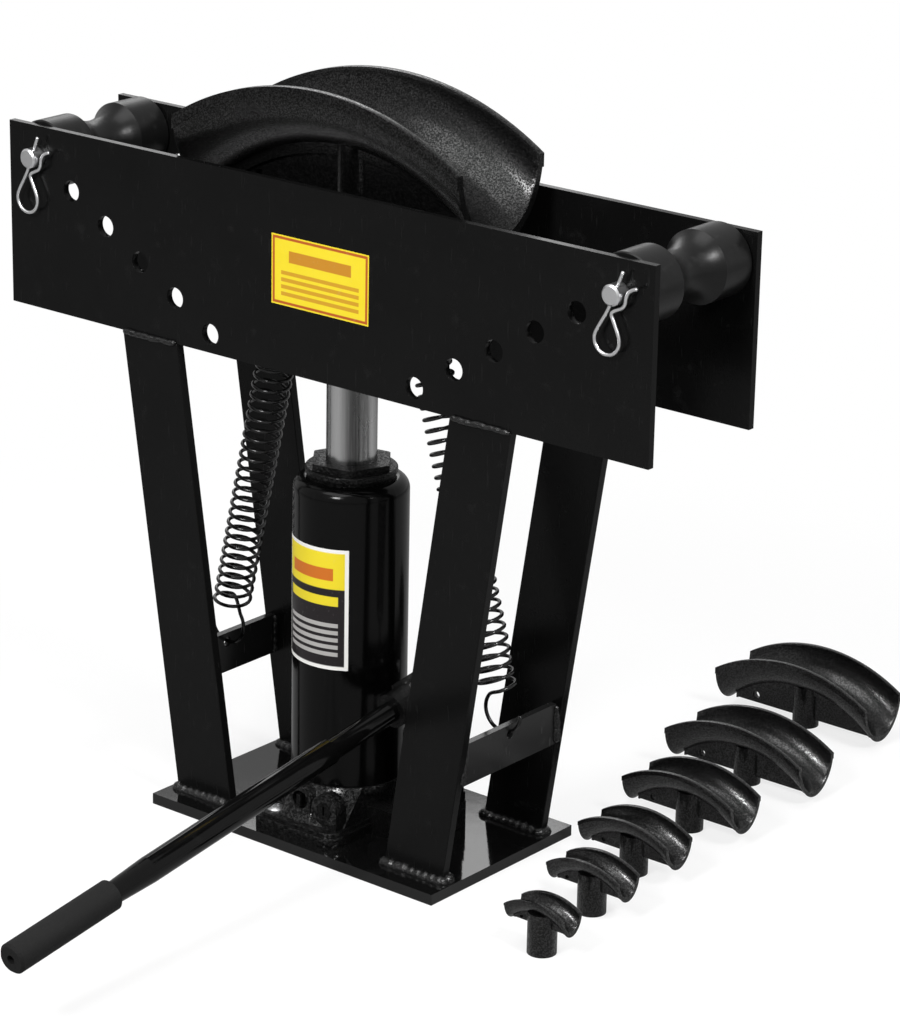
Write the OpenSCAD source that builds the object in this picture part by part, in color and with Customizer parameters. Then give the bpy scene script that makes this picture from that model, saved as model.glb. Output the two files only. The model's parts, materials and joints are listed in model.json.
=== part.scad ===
// Hydraulic pipe bender: a welded frame with two drilled side plates, a bottle jack with its pump
// handle, a bending die on the ram, two grooved rollers on pins, return springs and spare dies.
// Millimetres. Origin: centre of the base plate's underside. +X along the side plates,
// +Y to the rear, +Z up.

/* [Frame] */
// Length of both side plates
plate_length = 640; // [620:5:680]
// Height of both side plates
plate_height = 150; // [140:2:170]
// Thickness of both side plates
plate_thickness = 6; // [5:0.5:8]
// Width over the outer faces of the side plates
frame_width = 130; // [126:1:140]
// Height of the side plates' top edge above the floor
plate_top = 536; // [530:2:560]
// Length of the base plate
base_length = 294; // [286:2:340]
// Width of the base plate
base_width = 176; // [172:2:220]
// Thickness of the base plate
base_thickness = 9; // [8:0.5:12]
// Width of each leg, measured level
leg_width = 58; // [50:1:62]
// Thickness of each leg
leg_thickness = 8; // [6:0.5:10]
// Outer edge of each leg at its top, from the centre
leg_top_outer = 196; // [185:1:215]
// Outer edge of each leg at its foot, from the centre
leg_foot_outer = 139; // [132:1:142]
// Height of the crossbars' top edge
crossbar_top = 124; // [115:1:135]
// Height of each crossbar
crossbar_height = 34; // [28:1:40]
// Thickness of each crossbar
crossbar_thickness = 6; // [5:0.5:8]
// Outer face of each crossbar, from the centre
crossbar_outer = 151; // [149:0.5:151]
// Diameter of the spring hole in each crossbar
hook_hole_diameter = 8; // [7:0.5:9]

/* [Rollers] */
// Number of pin holes in each slanting row
hole_count = 6; // [4:1:6]
// Distance of the outermost pin holes from the plate ends
pin_edge = 30.5; // [28:0.5:35]
// Height of the outermost pin holes
outer_hole_z = 511; // [506:0.5:514]
// Step from hole to hole along the plate
hole_step_x = 37.3; // [34:0.1:38]
// Step from hole to hole down the plate
hole_step_z = 22; // [19:0.5:22]
// Diameter of the roller pins
pin_diameter = 16; // [14:0.5:18]
// Gap all round a pin in its plate hole
pin_hole_gap = 0.5; // [0.3:0.1:0.8]
// Length of pin standing out of the front plate
pin_reach = 12; // [11:0.5:16]
// Largest radius of a roller
roller_radius = 28; // [25:0.5:30]
// Radius of a roller at its waist
roller_waist = 18; // [15:0.5:20]
// Length of the plain cylinder at each roller end
roller_land = 32; // [26:1:38]
// Gap between a roller end and its side plate
roller_end_gap = 1; // [0.5:0.1:2]
// Wire diameter of the hairpin clips
clip_wire = 2.8; // [2.4:0.1:3]

/* [Jack] */
// Jack centre line, along the side plates
jack_x = -7; // [-8:0.5:0]
// Jack centre line, across the frame
jack_y = -7; // [-8:0.5:0]
// Outer radius of the oil reservoir
reservoir_radius = 46; // [45:0.5:48]
// Wall thickness of the oil reservoir
reservoir_wall = 3.5; // [3:0.25:5]
// Height of the casting's top, where the reservoir stands
casting_top = 48; // [46:1:52]
// Height of the reservoir's shoulder
shoulder_top = 294; // [290:0.5:300]
// Rounding of the reservoir's shoulder
shoulder_round = 10; // [8:0.5:11]
// Radius of the ram
ram_radius = 20; // [18:0.5:21]
// Radius of the piston bore in the pressure cylinder
piston_radius = 23; // [22.5:0.5:24]
// Wall thickness of the pressure cylinder
cylinder_wall = 5; // [4.5:0.25:6]
// Height of the ram's shoulder as drawn, under the spring plate
ram_top = 486; // [470:1:490]
// Ram travel down to its lowest position
ram_retract = 164; // [140:1:164]
// Ram travel up to its highest position
ram_extend = 40; // [20:1:42]
// Radius of the stud that carries the die
stud_radius = 9; // [8:0.25:9.5]
// Length of the stud above its collar
stud_length = 26; // [20:1:28]
// Radial clearance of every sliding and turning fit
running_gap = 0.05; // [0.02:0.01:0.08]

/* [Pump and handle] */
// Pump centre line from the jack centre line
pump_reach = 74; // [72:0.5:76]
// Radius of the pump plunger
plunger_radius = 6; // [5:0.25:7]
// Distance from the fulcrum to the plunger pin
lever_arm = 26; // [25:0.5:30]
// Height of the plunger pin as drawn, the bottom of its stroke
plunger_pin_height = 131; // [128:1:138]
// Slope of the handle as drawn, degrees below level
handle_slope = 8.6; // [6:0.2:12]
// Length of the handle, fulcrum to grip end
handle_length = 480; // [440:2:560]
// Radius of the handle's inner bar
handle_bar_radius = 8.5; // [8:0.25:9]
// Radius of the handle's outer tube
handle_tube_radius = 10.3; // [10:0.1:12]
// Radius of the handle grip
grip_radius = 12; // [11.5:0.25:14]
// Length of the handle grip
grip_length = 101; // [80:1:120]

/* [Springs] */
// Outer diameter of the return springs
spring_diameter = 32; // [28:0.5:33]
// Wire diameter of the return springs
spring_wire = 3; // [2.6:0.1:3.2]
// Coils in each return spring
spring_coils = 36; // [30:1:36]
// Half length of the spring plate
spring_plate_half = 55; // [52:0.5:57]
// Width of the spring plate
spring_plate_width = 42; // [38:1:48]
// Thickness of the spring plate
spring_plate_thickness = 6; // [5:0.5:6]

/* [Dies] */
// Pipe diameter that fits the die on the ram
main_pipe = 88.9; // [82:0.1:90]
// Bend radius at the die rim, in pipe diameters
rim_ratio = 2.98; // [2.8:0.02:3.1]
// Half length of a die, in pipe diameters
half_length_ratio = 1.6; // [1.5:0.02:1.65]
// Radius of the post under the die on the ram
post_radius = 13; // [12.5:0.25:14]
// Radius of the post under each spare die
spare_post_radius = 11.4; // [11.2:0.1:13]

/* [Hidden] */
$fn = 96;
overlap = 1;

// Frame sizes that follow from the values above
plate_bottom = plate_top - plate_height;
plate_inner = frame_width / 2 - plate_thickness;
leg_centre_y = frame_width / 2 - plate_thickness / 2;
leg_inner_y = leg_centre_y - leg_thickness / 2;
hook_hole_drop = 8;
hook_hole_z = crossbar_top - hook_hole_drop;
hook_hole_x = crossbar_outer - crossbar_thickness / 2;

// Roller sizes
outer_hole_x = plate_length / 2 - pin_edge;
roller_chamfer = 1;
pin_chamfer = 1.5;
pin_radius = pin_diameter / 2;
pin_hole_radius = pin_radius + pin_hole_gap;
pin_front = -frame_width / 2 - pin_reach;
pin_head_radius = pin_radius + 4;
pin_head_length = 6;
clip_y = -frame_width / 2 - pin_reach / 2;
clip_hole_gap = 0.35;
clip_tilt = 22;
clip_sides = 8;
clip_tip_height = 19;
clip_loop_radius = 11;
clip_loop_centre = [8, -34];

// Jack casting sizes
flange_x = 88;
flange_front = 71;
flange_rear = 58;
flange_corner = 14;
flange_height = 8;
flange_step = 3;
flange_step_height = 3;
flange_top = base_thickness + flange_height + flange_step_height;
valve_face = 59;
valve_back = 46.6;
release_x = 0;
release_z = 37;
safety_x = 25;
safety_z = 34;
release_arch = 11;
safety_arch = 13;
release_radius = 5;
release_depth = 22;
release_recess_radius = 7.5;
release_recess_depth = 5;
tang_width = 4;
tang_reach = 2;
release_ball_radius = 4;
safety_plug_radius = 7;
safety_plug_depth = 9;
safety_plug_reach = 0.6;
safety_ball_radius = 3.5;
safety_ball_gap = 0.2;
casting_rim = 2;
casting_neck_radius = reservoir_radius + casting_rim;
cone_foot_radius = 64;
screw_x = 28;
screw_front_inset = 15;
screw_rear_inset = 14;
screw_radius = 4;
screw_head_radius = 7.5;
screw_head_height = 3.5;
screw_end = 1;
dome_radius = 12.5;
recess_length = 8;
recess_width = 1.6;
spot_face_gap = 1;

// Jack cylinder sizes
cylinder_outer = piston_radius + cylinder_wall;
cylinder_seat = 4;
skirt_outer = cylinder_outer + 3.5;
skirt_length = 14;
lip_radius = 34.8;
lip_height = 3.5;
ring_radius = 36.5;
ring_height = 4.8;
ring_chamfer = 1;
ring_top = shoulder_top + lip_height + ring_height;
hex_radius = 34.6;
hex_height = 5.2;
hex_chamfer = 0.6;
hex_turn = 9;
cap_top = ring_top + hex_height;
piston_length = 24;
piston_bottom = casting_top + 6 + ram_retract;
seal_height = 6;
seal_depth = 3;
seal_setback = 3;
piston_seal_z = piston_bottom + (piston_length - seal_height) / 2;
collar_height = 6;
collar_radius = 12.5;
filler_angle = 105;
filler_z = 196;
filler_radius = 4.5;
filler_head_radius = 7;
filler_head_height = 3;

// Pump sizes
pump_boss_radius = 22;
pump_arm_height = 22;
pump_seat_radius = 17;
pump_seat_top = 46;
pump_cylinder_radius = 14;
pump_cylinder_bottom = 40;
pump_cylinder_top = 98;
pump_nut_radius = 18;
pump_nut_height = 12;
plunger_bottom = 52;
pump_floor = 48;
eye_radius = 10;
eye_half = 6;
plunger_pin_radius = 4;
cheek_gap = 0.5;
cheek_inner = eye_half + cheek_gap;
cheek_thickness = 5;
cheek_outer = cheek_inner + cheek_thickness;
cheek_radius = 12;
ear_inner = cheek_outer + cheek_gap;
ear_thickness = 5;
ear_outer = ear_inner + ear_thickness;
ear_radius = 11;
ear_half_width = 9;
bracket_foot = 8;
fulcrum_pin_radius = 5;
fulcrum_pin_end = 4;
fulcrum_head_rim = 3;
fulcrum_y = lever_arm * cos(handle_slope);
fulcrum_z = plunger_pin_height + lever_arm * sin(handle_slope);
slot_gap = 0.9;
slot_half = 5;
socket_radius = 14;
socket_start = 42;
socket_end = 63;
bar_start = 47;
bar_end = 200;
tube_start = 137;
swage_length = 40;
grip_start = handle_length - grip_length;
grip_end_wall = 12;
grip_chamfer = 2;
grip_vent_radius = 3.5;
tube_end = handle_length - grip_end_wall;
tube_wall = handle_tube_radius - handle_bar_radius;
bar_wall = 2;

// Spring sizes
coil_radius = (spring_diameter - spring_wire) / 2;
low_hook_radius = 17;
low_hook_gap = 1.35;
low_hook_shank = 2;
high_hook_radius = 13;
high_hook_gap = 0.7;
high_hook_shank = 3;
hook_step = 15;
hook_tip_turn = 75;
low_hook_turn = 135;
high_hook_turn = 105;
lead_steps = 7;
low_lead_pull = 16;
high_lead_pull = 30;
coil_start = 315;
coil_end = 270;
bridge = 6;
slot_length = 15;
slot_width = 7;
rings_per_coil = 8;
coil_rings = rings_per_coil * (spring_coils + (coil_end - coil_start) / 360);
spring_sides = 6;
plate_slot_middle = spring_plate_half - bridge - slot_length / 2;
high_hold_x = spring_plate_half - bridge / 2;
high_hold_z = ram_top + spring_plate_thickness + spring_wire / 2 + high_hook_gap;
low_hold_z = hook_hole_z + hook_hole_diameter / 2 - spring_wire / 2 - low_hook_gap;

// Die sizes
die_seat = ram_top + spring_plate_thickness + collar_height;
spare_pipes = [48.3, 42.4, 33.7, 26.9, 21.3, 17.2];
spare_places = [[155, 408], [189, 272], [209, 163], [226, 65], [245, -14], [260, -95]];
socket_clearance = 0.3;
pipe_clearance = 0.3;
least_die_wall = 3;
least_web = 6;
least_post = 32;
least_web_hole = 1.6;
post_below_trough = 5.8;
stud_chamfer = 2;

// Finishes
black_paint = [0.05, 0.05, 0.055];
cast_black = [0.09, 0.09, 0.095];
bright_steel = [0.75, 0.76, 0.78];
zinc = [0.8, 0.8, 0.82];
rubber_black = [0.04, 0.04, 0.04];
seal_red = [0.5, 0.1, 0.08];

// Shared shapes
module along_y(x, z, y_low, y_high, radius) {
    translate([x, y_low, z]) rotate([-90, 0, 0]) cylinder(h = y_high - y_low, r = radius);
}

module along_x(y, z, x_low, x_high, radius) {
    translate([x_low, y, z]) rotate([0, 90, 0]) cylinder(h = x_high - x_low, r = radius);
}

module upright(points, y_low, thickness) {
    translate([0, y_low + thickness, 0]) rotate([90, 0, 0]) linear_extrude(thickness) polygon(points);
}

module rounded_rectangle(x_low, x_high, y_low, y_high, radius) {
    translate([x_low + radius, y_low]) square([x_high - x_low - 2 * radius, y_high - y_low]);
    translate([x_low, y_low + radius]) square([x_high - x_low, y_high - y_low - 2 * radius]);
    for (x = [x_low + radius, x_high - radius], y = [y_low + radius, y_high - radius])
        translate([x, y]) circle(radius);
}

module ring(inner, outer, z_low, z_high) {
    translate([0, 0, z_low]) difference() {
        cylinder(h = z_high - z_low, r = outer);
        translate([0, 0, -overlap]) cylinder(h = z_high - z_low + 2 * overlap, r = inner);
    }
}

module at_jack() {
    translate([jack_x, jack_y, 0]) children();
}

module at_pump() {
    translate([jack_x + pump_reach, jack_y, 0]) children();
}

// The lever frame: origin on the fulcrum, handle along -Y
module at_lever() {
    at_pump() translate([0, fulcrum_y, fulcrum_z]) rotate([handle_slope, 0, 0]) children();
}

// Round wire swept along a list of points
function unit(v) = v / norm(v);
function tangents(path) = [for (i = [0 : len(path) - 1])
    unit(path[min(i + 1, len(path) - 1)] - path[max(i - 1, 0)])];
function carried(n, t) = unit(n - (n * t) * t);
function first_normal(t) = carried(abs(t[1]) < 0.9 ? [0, 1, 0] : [1, 0, 0], t);
function normals(ts) = [for (i = 0, n = first_normal(ts[0]); i < len(ts);
    i = i + 1, n = carried(n, ts[min(i, len(ts) - 1)])) n];
function wire_points(path, radius, sides) = let (ts = tangents(path), ns = normals(ts))
    [for (i = [0 : len(path) - 1], k = [0 : sides - 1]) let (a = 360 * k / sides)
        path[i] + radius * (cos(a) * ns[i] + sin(a) * cross(ts[i], ns[i]))];
function wire_faces(rings, sides) = concat(
    [for (k = [1 : sides - 2]) [0, k, k + 1]],
    [for (i = [0 : rings - 2], k = [0 : sides - 1], h = [0, 1])
        let (a = i * sides + k, b = i * sides + (k + 1) % sides)
            h == 0 ? [a, a + sides, b] : [b, a + sides, b + sides]],
    [for (k = [1 : sides - 2]) let (e = (rings - 1) * sides) [e, e + k + 1, e + k]]);

module wire(path, radius, sides) {
    polyhedron(points = wire_points(path, radius, sides), faces = wire_faces(len(path), sides));
}

// Frame
module base_plate() {
    color(black_paint) difference() {
        translate([-base_length / 2, -base_width / 2, 0]) cube([base_length, base_width, base_thickness]);
        at_jack() for (end = [-1, 1])
            translate([end * screw_x, screw_y(end), -overlap])
                cylinder(h = base_thickness + 2 * overlap, r = screw_radius);
    }
}

function hole_x(i) = outer_hole_x - i * hole_step_x;
function hole_z(i) = outer_hole_z - i * hole_step_z;

module side_plate(y_low) {
    color(black_paint) difference() {
        translate([-plate_length / 2, y_low, plate_bottom])
            cube([plate_length, plate_thickness, plate_height]);
        for (side = [-1, 1], i = [0 : hole_count - 1])
            along_y(side * hole_x(i), hole_z(i), y_low - overlap, y_low + plate_thickness + overlap,
                pin_hole_radius);
    }
}

module front_side_plate() {
    side_plate(-frame_width / 2);
}

module rear_side_plate() {
    side_plate(plate_inner);
}

module leg(side, row) {
    color(black_paint) upright([
        [side * (leg_foot_outer - leg_width), base_thickness], [side * leg_foot_outer, base_thickness],
        [side * leg_top_outer, plate_bottom], [side * (leg_top_outer - leg_width), plate_bottom]],
        row * leg_centre_y - leg_thickness / 2, leg_thickness);
}

module crossbar(side) {
    color(black_paint) difference() {
        translate([side * hook_hole_x - crossbar_thickness / 2, -leg_inner_y, crossbar_top - crossbar_height])
            cube([crossbar_thickness, 2 * leg_inner_y, crossbar_height]);
        along_x(0, hook_hole_z, side * hook_hole_x - crossbar_thickness,
            side * hook_hole_x + crossbar_thickness, hook_hole_diameter / 2);
    }
}

// Jack casting: stepped flange, sloping shoulder, two arched valve bosses and the pump arm
module flange_outline(inset) {
    rounded_rectangle(-flange_x / 2 + inset, flange_x / 2 - inset, -flange_front + inset, flange_rear - inset,
        flange_corner - inset);
}

module valve_arch(x, z, radius) {
    along_y(x, z, -valve_face, -valve_back, radius);
    translate([x - radius, -valve_face, flange_top - overlap])
        cube([2 * radius, valve_face - valve_back, z - flange_top + overlap]);
}

module valve_bore(x, z, depth, radius) {
    along_y(x, z, -valve_face - overlap, -valve_face + depth, radius);
}

module casting_body() {
    translate([0, 0, base_thickness]) linear_extrude(flange_height) flange_outline(0);
    translate([0, 0, base_thickness]) linear_extrude(flange_height + flange_step_height)
        flange_outline(flange_step);
    intersection() {
        translate([0, 0, flange_top - overlap])
            cylinder(h = casting_top - flange_top + overlap, r1 = cone_foot_radius, r2 = casting_neck_radius);
        translate([0, 0, base_thickness]) linear_extrude(casting_top)
            flange_outline(flange_step + casting_rim);
    }
    translate([0, 0, casting_top - 3 * casting_rim]) cylinder(h = 3 * casting_rim, r = casting_neck_radius);
    valve_arch(release_x, release_z, release_arch);
    valve_arch(safety_x, safety_z, safety_arch);
    translate([0, -pump_boss_radius, base_thickness])
        cube([pump_reach, 2 * pump_boss_radius, pump_arm_height]);
    translate([pump_reach, 0, base_thickness]) {
        cylinder(h = pump_arm_height, r = pump_boss_radius);
        cylinder(h = pump_seat_top - base_thickness, r = pump_seat_radius);
    }
    translate([pump_reach - ear_outer, 0, base_thickness])
        cube([2 * ear_outer, fulcrum_y + cheek_radius, pump_arm_height]);
}

module jack_base() {
    color(cast_black) at_jack() difference() {
        casting_body();
        translate([0, 0, casting_top - cylinder_seat])
            cylinder(h = cylinder_seat + overlap, r = cylinder_outer);
        valve_bore(release_x, release_z, release_recess_depth, release_recess_radius);
        valve_bore(release_x, release_z, release_depth, release_radius + running_gap);
        valve_bore(safety_x, safety_z, safety_plug_depth + 3 * safety_ball_radius,
            safety_ball_radius + safety_ball_gap);
        valve_bore(safety_x, safety_z, safety_plug_depth, safety_plug_radius);
        translate([pump_reach, 0, pump_cylinder_bottom])
            cylinder(h = pump_seat_top, r = pump_cylinder_radius);
        for (end = [-1, 1]) translate([end * screw_x, screw_y(end), 0]) {
            translate([0, 0, base_thickness - overlap]) cylinder(h = flange_top, r = screw_radius);
            translate([0, 0, flange_top]) cylinder(h = casting_top, r = screw_head_radius + spot_face_gap);
        }
    }
}

function screw_y(end) = end < 0 ? -flange_front + screw_front_inset : flange_rear - screw_rear_inset;

module jack_hold_down_screws() {
    color(zinc) at_jack() for (end = [-1, 1]) translate([end * screw_x, screw_y(end), 0]) difference() {
        union() {
            translate([0, 0, screw_end]) cylinder(h = flange_top - screw_end, r = screw_radius);
            translate([0, 0, flange_top]) intersection() {
                cylinder(h = screw_head_height, r = screw_head_radius);
                translate([0, 0, screw_head_height - dome_radius]) sphere(r = dome_radius);
            }
        }
        cross_recess(flange_top + screw_head_height / 2);
    }
}

// Cross-shaped driver recess, cut upward from the given height
module cross_recess(z_low) {
    for (turn = [0, 90]) rotate([0, 0, turn])
        translate([-recess_length / 2, -recess_width / 2, z_low])
            cube([recess_length, recess_width, recess_length]);
}

// Jack cylinder
module reservoir_section(radius, top, round_radius) {
    translate([0, casting_top]) square([radius, top - round_radius - casting_top]);
    translate([0, casting_top]) square([radius - round_radius, top - casting_top]);
    translate([radius - round_radius, top - round_radius]) circle(round_radius);
}

module reservoir() {
    color(black_paint) at_jack() difference() {
        rotate_extrude() intersection() {
            reservoir_section(reservoir_radius, shoulder_top, shoulder_round);
            translate([0, casting_top]) square([reservoir_radius, shoulder_top]);
        }
        rotate_extrude() intersection() {
            reservoir_section(reservoir_radius - reservoir_wall, shoulder_top - reservoir_wall,
                shoulder_round - reservoir_wall);
            translate([0, casting_top]) square([reservoir_radius, shoulder_top]);
        }
        translate([0, 0, casting_top - overlap])
            cylinder(h = 2 * overlap, r = reservoir_radius - reservoir_wall);
        translate([0, 0, casting_top]) cylinder(h = shoulder_top, r = skirt_outer);
        rotate([0, 0, filler_angle]) along_x(0, filler_z, 0, reservoir_radius + overlap, filler_radius);
    }
}

module reservoir_seal() {
    color(seal_red) at_jack()
        ring(reservoir_radius - reservoir_wall - seal_depth, reservoir_radius - reservoir_wall, casting_top,
            casting_top + seal_depth);
}

module pressure_cylinder() {
    color(bright_steel) at_jack()
        ring(piston_radius, cylinder_outer, casting_top - cylinder_seat, shoulder_top);
}

module cap_nut() {
    color(cast_black) at_jack() difference() {
        union() {
            ring(cylinder_outer, skirt_outer, shoulder_top - skirt_length, shoulder_top);
            translate([0, 0, shoulder_top]) cylinder(h = lip_height + overlap, r = lip_radius);
            translate([0, 0, ring_top - ring_height])
                cylinder(h = ring_height - ring_chamfer, r = ring_radius);
            translate([0, 0, ring_top - ring_chamfer])
                cylinder(h = ring_chamfer, r1 = ring_radius, r2 = ring_radius - ring_chamfer);
            intersection() {
                translate([0, 0, ring_top - overlap]) rotate([0, 0, hex_turn])
                    cylinder(h = hex_height + overlap, r = hex_radius, $fn = 6);
                translate([0, 0, shoulder_top]) cylinder(h = cap_top - shoulder_top, r1 = reservoir_radius,
                    r2 = hex_radius - hex_chamfer);
            }
        }
        translate([0, 0, shoulder_top - overlap]) cylinder(h = cap_top, r = ram_radius + running_gap);
        translate([0, 0, cap_top - seal_height - seal_setback])
            cylinder(h = seal_height, r = ram_radius + seal_depth);
    }
}

module wiper_seal() {
    color(seal_red) at_jack() ring(ram_radius + running_gap, ram_radius + seal_depth,
        cap_top - seal_height - seal_setback, cap_top - seal_setback);
}

module filler_plug() {
    color(rubber_black) at_jack() rotate([0, 0, filler_angle]) difference() {
        union() {
            along_x(0, filler_z, reservoir_radius - 2 * reservoir_wall, reservoir_radius, filler_radius);
            along_x(0, filler_z, reservoir_radius - overlap, reservoir_radius + filler_head_height,
                filler_head_radius);
        }
        translate([reservoir_radius, 0, filler_z]) rotate([0, 90, 0]) cross_recess(filler_head_height / 2);
        difference() {
            translate([0, 0, filler_z - reservoir_radius / 2])
                cylinder(h = reservoir_radius, r = reservoir_radius);
            along_x(0, filler_z, 0, reservoir_radius + overlap, filler_radius);
        }
    }
}

// Valves in the casting's front bosses
module release_valve() {
    color(cast_black) at_jack() {
        along_y(release_x, release_z, -valve_face + release_recess_depth - overlap,
            -valve_face + release_depth - 2 * release_ball_radius, release_radius);
        translate([release_x - tang_width / 2, -valve_face - tang_reach, release_z - release_radius])
            cube([tang_width, tang_reach + release_recess_depth, 2 * release_radius]);
    }
}

module release_ball() {
    color(bright_steel) at_jack()
        translate([release_x, -valve_face + release_depth - release_ball_radius, release_z])
            sphere(r = release_ball_radius);
}

module safety_plug() {
    color(cast_black) at_jack() difference() {
        along_y(safety_x, safety_z, -valve_face - safety_plug_reach, -valve_face + safety_plug_depth,
            safety_plug_radius);
        translate([safety_x - recess_width / 2, -valve_face - 2 * recess_width, safety_z - recess_length / 2])
            cube([recess_width, 3 * recess_width, recess_length]);
    }
}

module safety_ball() {
    color(bright_steel) at_jack()
        translate([safety_x, -valve_face + safety_plug_depth + safety_ball_radius, safety_z])
            sphere(r = safety_ball_radius);
}

// Pump
module pump_cylinder() {
    color(cast_black) at_pump() difference() {
        union() {
            translate([0, 0, pump_cylinder_bottom])
                cylinder(h = pump_cylinder_top - pump_cylinder_bottom, r = pump_cylinder_radius);
            translate([0, 0, pump_seat_top]) cylinder(h = pump_nut_height, r = pump_nut_radius, $fn = 6);
        }
        translate([0, 0, pump_floor]) cylinder(h = pump_cylinder_top, r = plunger_radius + running_gap);
        translate([0, 0, pump_cylinder_top - seal_height - seal_setback])
            cylinder(h = seal_height, r = plunger_radius + seal_depth);
    }
}

module pump_seal() {
    color(seal_red) at_pump() ring(plunger_radius + running_gap, plunger_radius + seal_depth,
        pump_cylinder_top - seal_height - seal_setback, pump_cylinder_top - seal_setback);
}

module pump_plunger() {
    color(bright_steel) at_pump() difference() {
        union() {
            translate([0, 0, plunger_bottom])
                cylinder(h = plunger_pin_height - plunger_bottom, r = plunger_radius);
            along_x(0, plunger_pin_height, -eye_half, eye_half, eye_radius);
        }
        along_x(0, plunger_pin_height, -eye_half - overlap, eye_half + overlap, plunger_pin_radius);
    }
}

module plunger_pin() {
    color(zinc) at_pump()
        along_x(0, plunger_pin_height, -cheek_outer, cheek_outer, plunger_pin_radius);
}

module fulcrum_bracket() {
    color(cast_black) at_pump() difference() {
        union() {
            translate([-ear_outer, fulcrum_y - ear_radius, base_thickness + pump_arm_height])
                cube([2 * ear_outer, 2 * ear_radius, bracket_foot]);
            for (side = [-1, 1]) translate([side * (ear_inner + ear_outer) / 2, 0, 0]) {
                translate([-ear_thickness / 2, fulcrum_y - ear_half_width, base_thickness + pump_arm_height])
                    cube([ear_thickness, 2 * ear_half_width, fulcrum_z - base_thickness - pump_arm_height]);
                along_x(fulcrum_y, fulcrum_z, -ear_thickness / 2, ear_thickness / 2, ear_radius);
            }
        }
        along_x(fulcrum_y, fulcrum_z, -ear_outer - overlap, ear_outer + overlap, fulcrum_pin_radius);
        translate([0, 0, base_thickness]) cylinder(h = pump_cylinder_top, r = pump_nut_radius + cheek_gap);
    }
}

module fulcrum_pin() {
    color(zinc) at_pump() {
        along_x(fulcrum_y, fulcrum_z, -ear_outer - fulcrum_pin_end, ear_outer, fulcrum_pin_radius);
        along_x(fulcrum_y, fulcrum_z, ear_outer, ear_outer + fulcrum_pin_end,
            fulcrum_pin_radius + fulcrum_head_rim);
    }
}

module handle_socket() {
    color(cast_black) at_lever() difference() {
        union() {
            for (side = [-1, 1]) translate([side * (cheek_inner + cheek_outer) / 2, 0, 0]) {
                translate([-cheek_thickness / 2, -socket_start - cheek_thickness, -cheek_radius])
                    cube([cheek_thickness, socket_start + cheek_thickness, 2 * cheek_radius]);
                along_x(0, 0, -cheek_thickness / 2, cheek_thickness / 2, cheek_radius);
            }
            along_y(0, 0, -socket_end, -socket_start, socket_radius);
        }
        along_x(0, 0, -cheek_outer - overlap, cheek_outer + overlap, fulcrum_pin_radius + running_gap);
        for (end = [-1, 1])
            along_x(-lever_arm + end * slot_half, 0, -cheek_outer - overlap, cheek_outer + overlap,
                plunger_pin_radius + slot_gap);
        translate([-cheek_outer - overlap, -lever_arm - slot_half, -plunger_pin_radius - slot_gap])
            cube([2 * (cheek_outer + overlap), 2 * slot_half, 2 * (plunger_pin_radius + slot_gap)]);
        along_y(0, 0, -socket_end - overlap, -bar_start, handle_bar_radius);
    }
}

module handle_bar() {
    color(black_paint) at_lever() difference() {
        along_y(0, 0, -bar_end, -bar_start, handle_bar_radius);
        along_y(0, 0, -bar_end - overlap, -bar_start + overlap, handle_bar_radius - bar_wall);
    }
}

module swage(start, radius_from, radius_to) {
    translate([0, -start, 0]) rotate([90, 0, 0]) cylinder(h = swage_length, r1 = radius_from, r2 = radius_to);
}

module handle_tube() {
    color(black_paint) at_lever() difference() {
        union() {
            along_y(0, 0, -grip_start + swage_length, -tube_start, handle_tube_radius);
            swage(grip_start - swage_length, handle_tube_radius, handle_bar_radius);
            along_y(0, 0, -tube_end, -grip_start, handle_bar_radius);
        }
        along_y(0, 0, -grip_start + swage_length, -tube_start + overlap, handle_bar_radius);
        swage(grip_start - swage_length, handle_bar_radius, handle_bar_radius - tube_wall);
        along_y(0, 0, -tube_end - overlap, -grip_start, handle_bar_radius - tube_wall);
    }
}

module handle_grip() {
    color(rubber_black) at_lever() difference() {
        union() {
            along_y(0, 0, -handle_length + grip_chamfer, -grip_start, grip_radius);
            translate([0, -handle_length + grip_chamfer, 0]) rotate([90, 0, 0])
                cylinder(h = grip_chamfer, r1 = grip_radius, r2 = grip_radius - grip_chamfer);
        }
        along_y(0, 0, -tube_end, -grip_start + overlap, handle_bar_radius);
        along_y(0, 0, -handle_length - overlap, -tube_end + overlap, grip_vent_radius);
    }
}

// Ram with its piston and stud
module ram() {
    color(bright_steel) at_jack() difference() {
        union() {
            translate([0, 0, piston_bottom]) cylinder(h = piston_length, r = piston_radius - running_gap);
            translate([0, 0, piston_bottom]) cylinder(h = ram_top - piston_bottom, r = ram_radius);
            translate([0, 0, ram_top])
                cylinder(h = die_seat - ram_top + stud_length - stud_chamfer, r = stud_radius);
            translate([0, 0, die_seat + stud_length - stud_chamfer])
                cylinder(h = stud_chamfer, r1 = stud_radius, r2 = stud_radius - stud_chamfer);
        }
        ring(piston_radius - seal_depth, piston_radius + overlap, piston_seal_z, piston_seal_z + seal_height);
    }
}

module piston_seal() {
    color(seal_red) at_jack() ring(piston_radius - seal_depth, piston_radius - running_gap,
        piston_seal_z, piston_seal_z + seal_height);
}

module spring_plate() {
    color(black_paint) at_jack() translate([0, 0, ram_top]) difference() {
        translate([-spring_plate_half, -spring_plate_width / 2, 0])
            cube([2 * spring_plate_half, spring_plate_width, spring_plate_thickness]);
        translate([0, 0, -overlap]) cylinder(h = spring_plate_thickness + 2 * overlap, r = stud_radius);
        for (side = [-1, 1])
            translate([side * plate_slot_middle - slot_length / 2, -slot_width / 2, -overlap])
                cube([slot_length, slot_width, spring_plate_thickness + 2 * overlap]);
    }
}

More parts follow.
